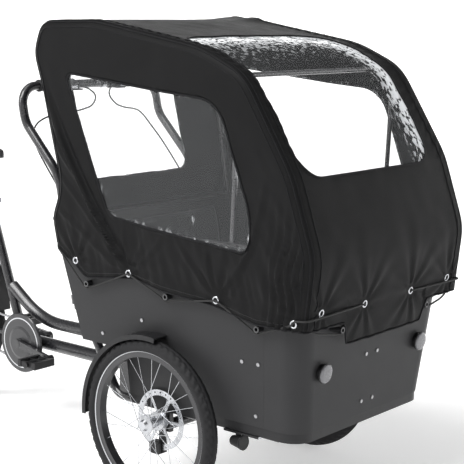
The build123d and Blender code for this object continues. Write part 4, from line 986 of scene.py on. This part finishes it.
def chain_links():
    """Side plates and rollers all round the two sprockets."""
    big, small = (Vector((-0.335, 0.268)), 0.0738), (Vector((-0.83, 0.33)), 0.0388)
    apart = big[0] - small[0]
    tilt = math.atan2(apart.y, apart.x)
    lean = math.acos((big[1] - small[1]) / apart.length)
    pitch_line = []
    wraps = ((big[0], big[1] + 0.0045, -lean, lean), (small[0], small[1] + 0.0045, lean, 2 * math.pi - lean))
    for centre, r, start, end in wraps:
        for w in np.linspace(start, end, 60):
            pitch_line.append((centre.x + r * math.cos(w + tilt), centre.y + r * math.sin(w + tilt)))
    dense = np.array(pitch_line + pitch_line[:1])
    total = float(np.linalg.norm(np.diff(dense, axis=0), axis=1).sum())
    count = 2 * round(total / 0.0127 / 2)
    pins = resample(dense, count + 1)[:-1]
    parts = []
    for k in range(count):
        p, q = pins[k], pins[(k + 1) % count]
        d = (q - p) / np.linalg.norm(q - p)
        n = np.array([-d[1], d[0]])
        for side in (-1, 1):
            y0 = -0.045 + side * (0.0030 if k % 2 else 0.0021)
            shape = []
            for w in np.linspace(0, 2 * math.pi, 15)[:-1]:
                end = q if math.cos(w) > 0 else p
                waist = 1 if abs(math.cos(w)) > 0.3 else 0.8
                shape.append(end + d * 0.0040 * math.cos(w) + n * 0.0040 * math.sin(w) * waist)
            m = len(shape)
            layer = [(c[0], y0 + t * 0.0004, c[1]) for t in (-1, 1) for c in shape]
            sides = [(i, (i + 1) % m, m + (i + 1) % m, m + i) for i in range(m)]
            parts.append((layer, sides + [tuple(range(m))[::-1], tuple(range(m, 2 * m))]))
        parts.append(lathe_part(ROLLER, (p[0], -0.045, p[1]), (0, 1, 0), 10))
    return join_parts(parts)


links = mesh_object("chain_links", *chain_links(), steel, "rear_frame", "steel", smooth=False)
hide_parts("chain")

# ---------------------------------------------------------------- grips
for name, s in SIDES:
    ribs = [(0.130, 0.0142), (0.130, 0.0165)]
    ribs += [(0.134 + 0.0028 * k, 0.0178 if k % 2 else 0.0164) for k in range(29)]
    ribs += [(0.2175, 0.0172), (0.220, 0.0192), (0.225, 0.0194), (0.228, 0.0176), (0.228, 0.0142)]
    part = lathe_part([(s * a, r) for a, r in ribs], (-0.024, 0, 1.188), (0, 1, 0), 40)
    obj = mesh_object(f"ribbed_grip_{name}", *part, grip, BOX, "grip_rubber")
    if s < 0:
        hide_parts("grips")

# ---------------------------------------------------------------- reflectors
CUP = [(0.0002, 0.0), (0.0002, 0.023), (0.004, 0.0215), (0.009, 0.021)]
CUP += [(0.0115, 0.0285), (0.0135, 0.0292), (0.0155, 0.0285), (0.0155, 0.026)]
DOME = [(0.0145, 0.0265), (0.0175, 0.0262), (0.0190, 0.0245), (0.0198, 0.019), (0.0203, 0.012), (0.0205, 0.0)]
lenses, mounts = [], []
front = Vector((1, 0, -0.098)).normalized()
for s in (-1, 1):
    z = 0.467
    seat = Vector((1.089 + 0.098 * (z - 0.2985), s * 0.235, z))
    mounts.append(lathe_part(CUP, seat, front, 48))
    lenses.append(lathe_part(DOME, seat, front, 48))
lens_piece = mesh_object("reflector_lenses", *join_parts(lenses), lens, BOX, "reflector_plastic")
mesh_object("reflector_mounts", *join_parts(mounts), trim, BOX, "trim_plastic")
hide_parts("reflectors")


# ---------------------------------------------------------------- saddle
def saddle():
    """A padded saddle: a lofted shell with a lowered middle and a rounded skirt."""
    rows = []
    back, nose = -0.749, -0.480
    for t in np.linspace(0, 1, 33):
        x = back + (nose - back) * t
        half = 0.0185 + 0.0745 * (1 - ramp(t, 0.12, 0.72)) * math.sin(math.pi * min(0.5, 0.13 + t * 1.9))
        half *= math.sqrt(max(0.0, 1 - ((t - 0.93) / 0.07) ** 2)) if t > 0.93 else 1.0
        half = max(half, 0.004)
        top = 0.944 + 0.006 * math.cos(math.pi * t * 1.4)
        top = top + 0.004 * ramp(t, 0.0, 0.1) - 0.012 * ramp(t, 0.85, 1.0)
        row = []
        for w in np.linspace(-1, 1, 25):
            a = w * math.pi / 2
            y = half * math.sin(a)
            if abs(w) >= 0.8:
                y = half * math.copysign(1, w) * (0.951 + 0.049 * math.cos((abs(w) - 0.8) / 0.2 * math.pi))
            drop = 0.030 * abs(w) ** 3.2 + 0.005 * math.exp(-((w / 0.22) ** 2)) * (1 - t)
            row.append((x, y, top - drop))
        under = [(x, y * 0.9, 0.9065) for x, y, _ in row[::-1]]
        rows.append(row + under)
    n = len(rows[0])
    points = [p for row in rows for p in row]
    faces = [
        (i * n + k, i * n + (k + 1) % n, (i + 1) * n + (k + 1) % n, (i + 1) * n + k)
        for i in range(len(rows) - 1)
        for k in range(n)
    ]
    faces += [tuple(range(n))[::-1], tuple((len(rows) - 1) * n + k for k in range(n))]
    obj = mesh_object("saddle_pad", points, faces, leather, "saddle_assembly", "saddle_cover")
    level = obj.modifiers.new("smooth", "SUBSURF")
    level.levels = level.render_levels = 1
    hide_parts("saddle")


saddle()


# ---------------------------------------------------------------- cushions
def cushion(name, low, high, lean=0.0, channels=4):
    """A stuffed cushion: a soft box puffed up by a short cloth simulation, with sewn channels."""
    size = np.array(high) - np.array(low)
    work = bmesh.new()
    bmesh.ops.create_cube(work, size=1.0)
    for v in work.verts:
        v.co = Vector([low[k] + size[k] * (0.5 + v.co[k] * (0.93 if k != 1 else 0.985)) for k in range(3)])
    bmesh.ops.bevel(work, geom=list(work.edges), offset=0.012, segments=3, affect="EDGES")
    mesh = bpy.data.meshes.new(name)
    work.to_mesh(mesh)
    work.free()
    obj = bpy.data.objects.new(name, mesh)
    bpy.context.scene.collection.objects.link(obj)
    grid = obj.modifiers.new("grid", "REMESH")
    grid.mode = "VOXEL"
    grid.voxel_size = 0.008
    settle(obj)
    rest = np.array([v.co for v in obj.data.vertices])
    puff = obj.modifiers.new("puff", "CLOTH")
    puff.settings.use_pressure = True
    puff.settings.uniform_pressure_force = 3.0
    puff.settings.effector_weights.gravity = 0.0
    puff.point_cache.frame_end = 14
    for step in range(1, 15):
        bpy.context.scene.frame_set(step)
    settle(obj)
    moved = np.array([v.co for v in obj.data.vertices])
    change = moved - rest
    far = np.linalg.norm(change, axis=1)[:, None]
    rest = rest + change * np.minimum(1, 0.007 / np.maximum(far, 1e-9))
    bpy.context.scene.frame_set(1)
    # sewn channels across the width
    middle = (np.array(low) + np.array(high)) / 2
    pinch = np.zeros(len(rest))
    for k in range(1, channels):
        y = low[1] + size[1] * k / channels
        pinch += np.exp(-(((rest[:, 1] - y) / 0.008) ** 2))
    thin = int(np.argmin(size))
    rest[:, thin] -= np.sign(rest[:, thin] - middle[thin]) * pinch * 0.004
    rest = np.clip(rest, np.array(low) + 0.0004, np.array(high) - 0.0004)
    rest[:, 0] -= lean * (rest[:, 2] - low[2])
    obj.data.vertices.foreach_set("co", rest.ravel().astype(np.float32))
    obj.data.update()
    obj.data.polygons.foreach_set("use_smooth", [True] * len(obj.data.polygons))
    obj.data.materials.clear()
    obj.data.materials.append(cushion_cloth)
    level = obj.modifiers.new("smooth", "SUBSURF")
    level.levels = level.render_levels = 1
    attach(obj, BOX)
    return obj


def settle(obj):
    """Turns an object's modifiers into its mesh."""
    bpy.context.view_layer.update()
    dg = bpy.context.evaluated_depsgraph_get()
    made = bpy.data.meshes.new_from_object(obj.evaluated_get(dg))
    obj.modifiers.clear()
    obj.data = made


seat_pad = cushion("bench_pad", (0.298, -0.325, 0.5728), (0.565, 0.325, 0.6138))
cushion("back_pad", (0.268, -0.315, 0.6170), (0.300, 0.315, 0.7900), lean=0.20)
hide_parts("bench_cushions")

# ---------------------------------------------------------------- floor
floor_mat = material("floor", (0.9, 0.9, 0.9), 0.85, vary=0.01, scale=1.5, grain=60, bump=0.02)
surface = floor_mat.node_tree.nodes["Principled BSDF"]
surface.inputs["Emission Color"].default_value = (1.0, 1.0, 1.0, 1.0)
surface.inputs["Emission Strength"].default_value = 0.4
surface.inputs["Specular IOR Level"].default_value = 0.0
BOWL, RISE = 24.0, 6.0
rim_line = [(0.0, 0.0), (0.0, 8.0), (0.0, BOWL)]
for a in np.linspace(0.1, math.pi / 2, 12):
    rim_line.append((RISE - RISE * math.cos(a), BOWL + RISE * math.sin(a)))
rim_line.append((12.0, BOWL + RISE))
rows, quads = lathe_part(rim_line, (0, 0, 0), (0, 0, 1), 96)
floor_mesh = bpy.data.meshes.new("floor")
floor_mesh.from_pydata([tuple(v) for v in rows], [], quads)
floor_mesh.polygons.foreach_set("use_smooth", [True] * len(quads))
floor = bpy.data.objects.new("floor", floor_mesh)
bpy.context.scene.collection.objects.link(floor)
floor_mesh.materials.append(floor_mat)
